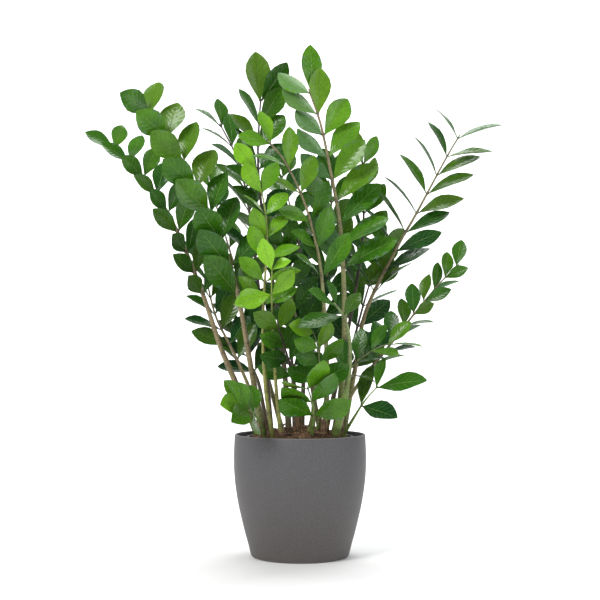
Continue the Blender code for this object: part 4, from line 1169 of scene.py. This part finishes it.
class PLANT_OT_outer_pot(bpy.types.Operator):
    """Builds the outer pot"""

    bl_idname = "plant.outer_pot"
    bl_label = "Outer pot"

    def execute(self, context):
        pot_piece(pot_material(context.scene.plant_pot))
        return {"FINISHED"}


class PLANT_OT_nursery_pot(bpy.types.Operator):
    """Finishes the nursery pot"""

    bl_idname = "plant.nursery_pot"
    bl_label = "Nursery pot"

    def execute(self, context):
        finish_node("nursery_pot", nursery_material(context.scene.plant_pot))
        return {"FINISHED"}


class PLANT_OT_soil(bpy.types.Operator):
    """Builds the soil with its loose crumbs and fibres"""

    bl_idname = "plant.soil"
    bl_label = "Soil"

    def execute(self, context):
        ground = context.scene.plant_ground
        soil_piece(soil_material("soil_mix", ground.dark_soil, ground.pale_soil, 420.0))
        crumbs_piece(soil_material("soil_crumb", ground.dark_soil, ground.pale_soil, 160.0), ground.crumbs)
        fibre = fibre_material("soil_fibre", ground.dark_husk, ground.pale_husk)
        strips_piece("soil_fibres", fibre, ground.fibres, (7, 26), (0.35, 1.2), 0.22)
        strips_piece("soil_husk_scraps", fibre, ground.scraps, (14, 34), (1.4, 3.2), 0.5)
        return {"FINISHED"}


class PLANT_OT_rhizomes(bpy.types.Operator):
    """Finishes the buried rhizomes"""

    bl_idname = "plant.rhizomes"
    bl_label = "Rhizomes"

    def execute(self, context):
        ground = context.scene.plant_ground
        skin = soil_material("rhizome_skin", ground.dark_husk, ground.rhizome_colour, 90.0)
        for name in RHIZOMES:
            finish_node(name, skin)
        return {"FINISHED"}


class PLANT_OT_husks(bpy.types.Operator):
    """Builds the dry husks round the stalks"""

    bl_idname = "plant.husks"
    bl_label = "Husks"

    def execute(self, context):
        ground = context.scene.plant_ground
        surface = fibre_material("husk_fibre", ground.dark_husk, ground.pale_husk)
        stalks, _ = plant()
        for name in SHEATHS:
            sheath_piece(name, stalks[name], surface)
        return {"FINISHED"}


class PLANT_OT_stalks(bpy.types.Operator):
    """Builds the stalks"""

    bl_idname = "plant.stalks"
    bl_label = "Stalks"

    def execute(self, context):
        surface = stalk_material(context.scene.plant_stalk)
        stalks, grown = plant()
        for name, stalk in stalks.items():
            stalk_piece(name, stalk, grown[name][0], surface)
        return {"FINISHED"}


class PLANT_OT_leaflets(bpy.types.Operator):
    """Builds the leaflets of every frond"""

    bl_idname = "plant.leaflets"
    bl_label = "Leaflets"

    def execute(self, context):
        surface = leaf_material(context.scene.plant_leaf)
        for name, (_, leaflets) in plant()[1].items():
            leaflets_piece(name, leaflets, surface)
        return {"FINISHED"}


class PLANT_OT_stage(bpy.types.Operator):
    """Sets up the floor, the lights and the camera"""

    bl_idname = "plant.stage"
    bl_label = "Stage"

    def execute(self, context):
        make_stage(context.scene, context.scene.plant_stage)
        return {"FINISHED"}


class PLANT_PT_panel(bpy.types.Panel):
    """Lists the plant's settings and pieces"""

    bl_label = "Potted plant"
    bl_idname = "PLANT_PT_panel"
    bl_space_type = "VIEW_3D"
    bl_region_type = "UI"
    bl_category = "Plant"

    def draw(self, context):
        layout = self.layout
        for group in SETTINGS:
            settings = getattr(context.scene, group)
            column = layout.column(heading=group.replace("plant_", "").title())
            for field in type(settings).__annotations__:
                column.prop(settings, field)
        for operator in OPERATORS:
            layout.operator(operator.bl_idname)


def finish_node(name, surface):
    """Gives a node of the frame its finished material."""
    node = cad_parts[name]
    node.data.materials.clear()
    node.data.materials.append(surface)


def make_stage(scene, stage):
    """A pale floor that curves up into a backdrop, soft lights, and the camera."""
    curve = [
        (FLOOR_BACK + FLOOR_CURVE * math.sin(a), FLOOR_CURVE - FLOOR_CURVE * math.cos(a))
        for a in np.linspace(0.1, math.pi / 2, 12)
    ]
    rows = [(FLOOR_FRONT, 0.0), (FLOOR_BACK, 0.0), *curve, (FLOOR_BACK + FLOOR_CURVE, WALL_TOP)]
    points = [(x, y, z) for y, z in rows for x in (-FLOOR_HALF_WIDTH, FLOOR_HALF_WIDTH)]
    faces = [(2 * i, 2 * i + 1, 2 * i + 3, 2 * i + 2) for i in range(len(rows) - 1)]
    floor = add_mesh("floor", points, faces, stage_material("floor_paper", stage.floor_colour))
    for name, (place, target, size, share, colour) in LIGHTS.items():
        add_light(name, place, target, size, stage.key_power * share, colour)
    world = bpy.data.worlds.new("studio")
    world.use_nodes = True
    world.node_tree.nodes["Background"].inputs["Color"].default_value = (1.0, 1.0, 1.0, 1.0)
    world.node_tree.nodes["Background"].inputs["Strength"].default_value = SURROUND_STRENGTH
    scene.world = world
    scene.view_settings.view_transform = "Standard"
    camera = add_object("camera", bpy.data.cameras.new("camera"))
    camera.location = (0.0, -stage.camera_distance, stage.camera_height)
    camera.rotation_euler = (math.radians(CAMERA_TILT), 0.0, 0.0)
    camera.data.lens = LENS
    camera.data.sensor_width = SENSOR_WIDTH
    scene.camera = camera


def add_light(name, place, target, size, power, colour):
    """A square soft light at a place, turned to face a target."""
    lamp = bpy.data.lights.new(name, "AREA")
    lamp.size = size
    lamp.energy = power
    lamp.color = colour
    light = add_object(name, lamp)
    light.location = place
    away = unit(np.array(place) - np.array(target))
    light.rotation_euler = (math.acos(away[2]), 0.0, math.atan2(away[1], away[0]) + math.pi / 2)


SETTINGS = {
    "plant_pot": PotSettings, "plant_leaf": LeafSettings, "plant_stalk": StalkSettings,
    "plant_ground": GroundSettings, "plant_stage": StageSettings,
}
OPERATORS = (
    PLANT_OT_outer_pot, PLANT_OT_nursery_pot, PLANT_OT_soil, PLANT_OT_rhizomes, PLANT_OT_husks,
    PLANT_OT_stalks, PLANT_OT_leaflets, PLANT_OT_stage,
)


def register():
    """Registers the settings, operators and panel."""
    for name, group in SETTINGS.items():
        bpy.utils.register_class(group)
        setattr(bpy.types.Scene, name, bpy.props.PointerProperty(type=group))
    for operator in OPERATORS:
        bpy.utils.register_class(operator)
    bpy.utils.register_class(PLANT_PT_panel)


def unregister():
    """Takes away what register added."""
    bpy.utils.unregister_class(PLANT_PT_panel)
    for operator in reversed(OPERATORS):
        bpy.utils.unregister_class(operator)
    for name, group in SETTINGS.items():
        delattr(bpy.types.Scene, name)
        bpy.utils.unregister_class(group)


def main():
    """Builds every piece in order."""
    register()
    make_fine_grain_group()
    make_leaf_veins_group()
    bpy.ops.plant.outer_pot()
    bpy.ops.plant.nursery_pot()
    bpy.ops.plant.soil()
    bpy.ops.plant.rhizomes()
    bpy.ops.plant.husks()
    bpy.ops.plant.stalks()
    bpy.ops.plant.leaflets()
    bpy.ops.plant.stage()


if __name__ == "__main__":
    main()
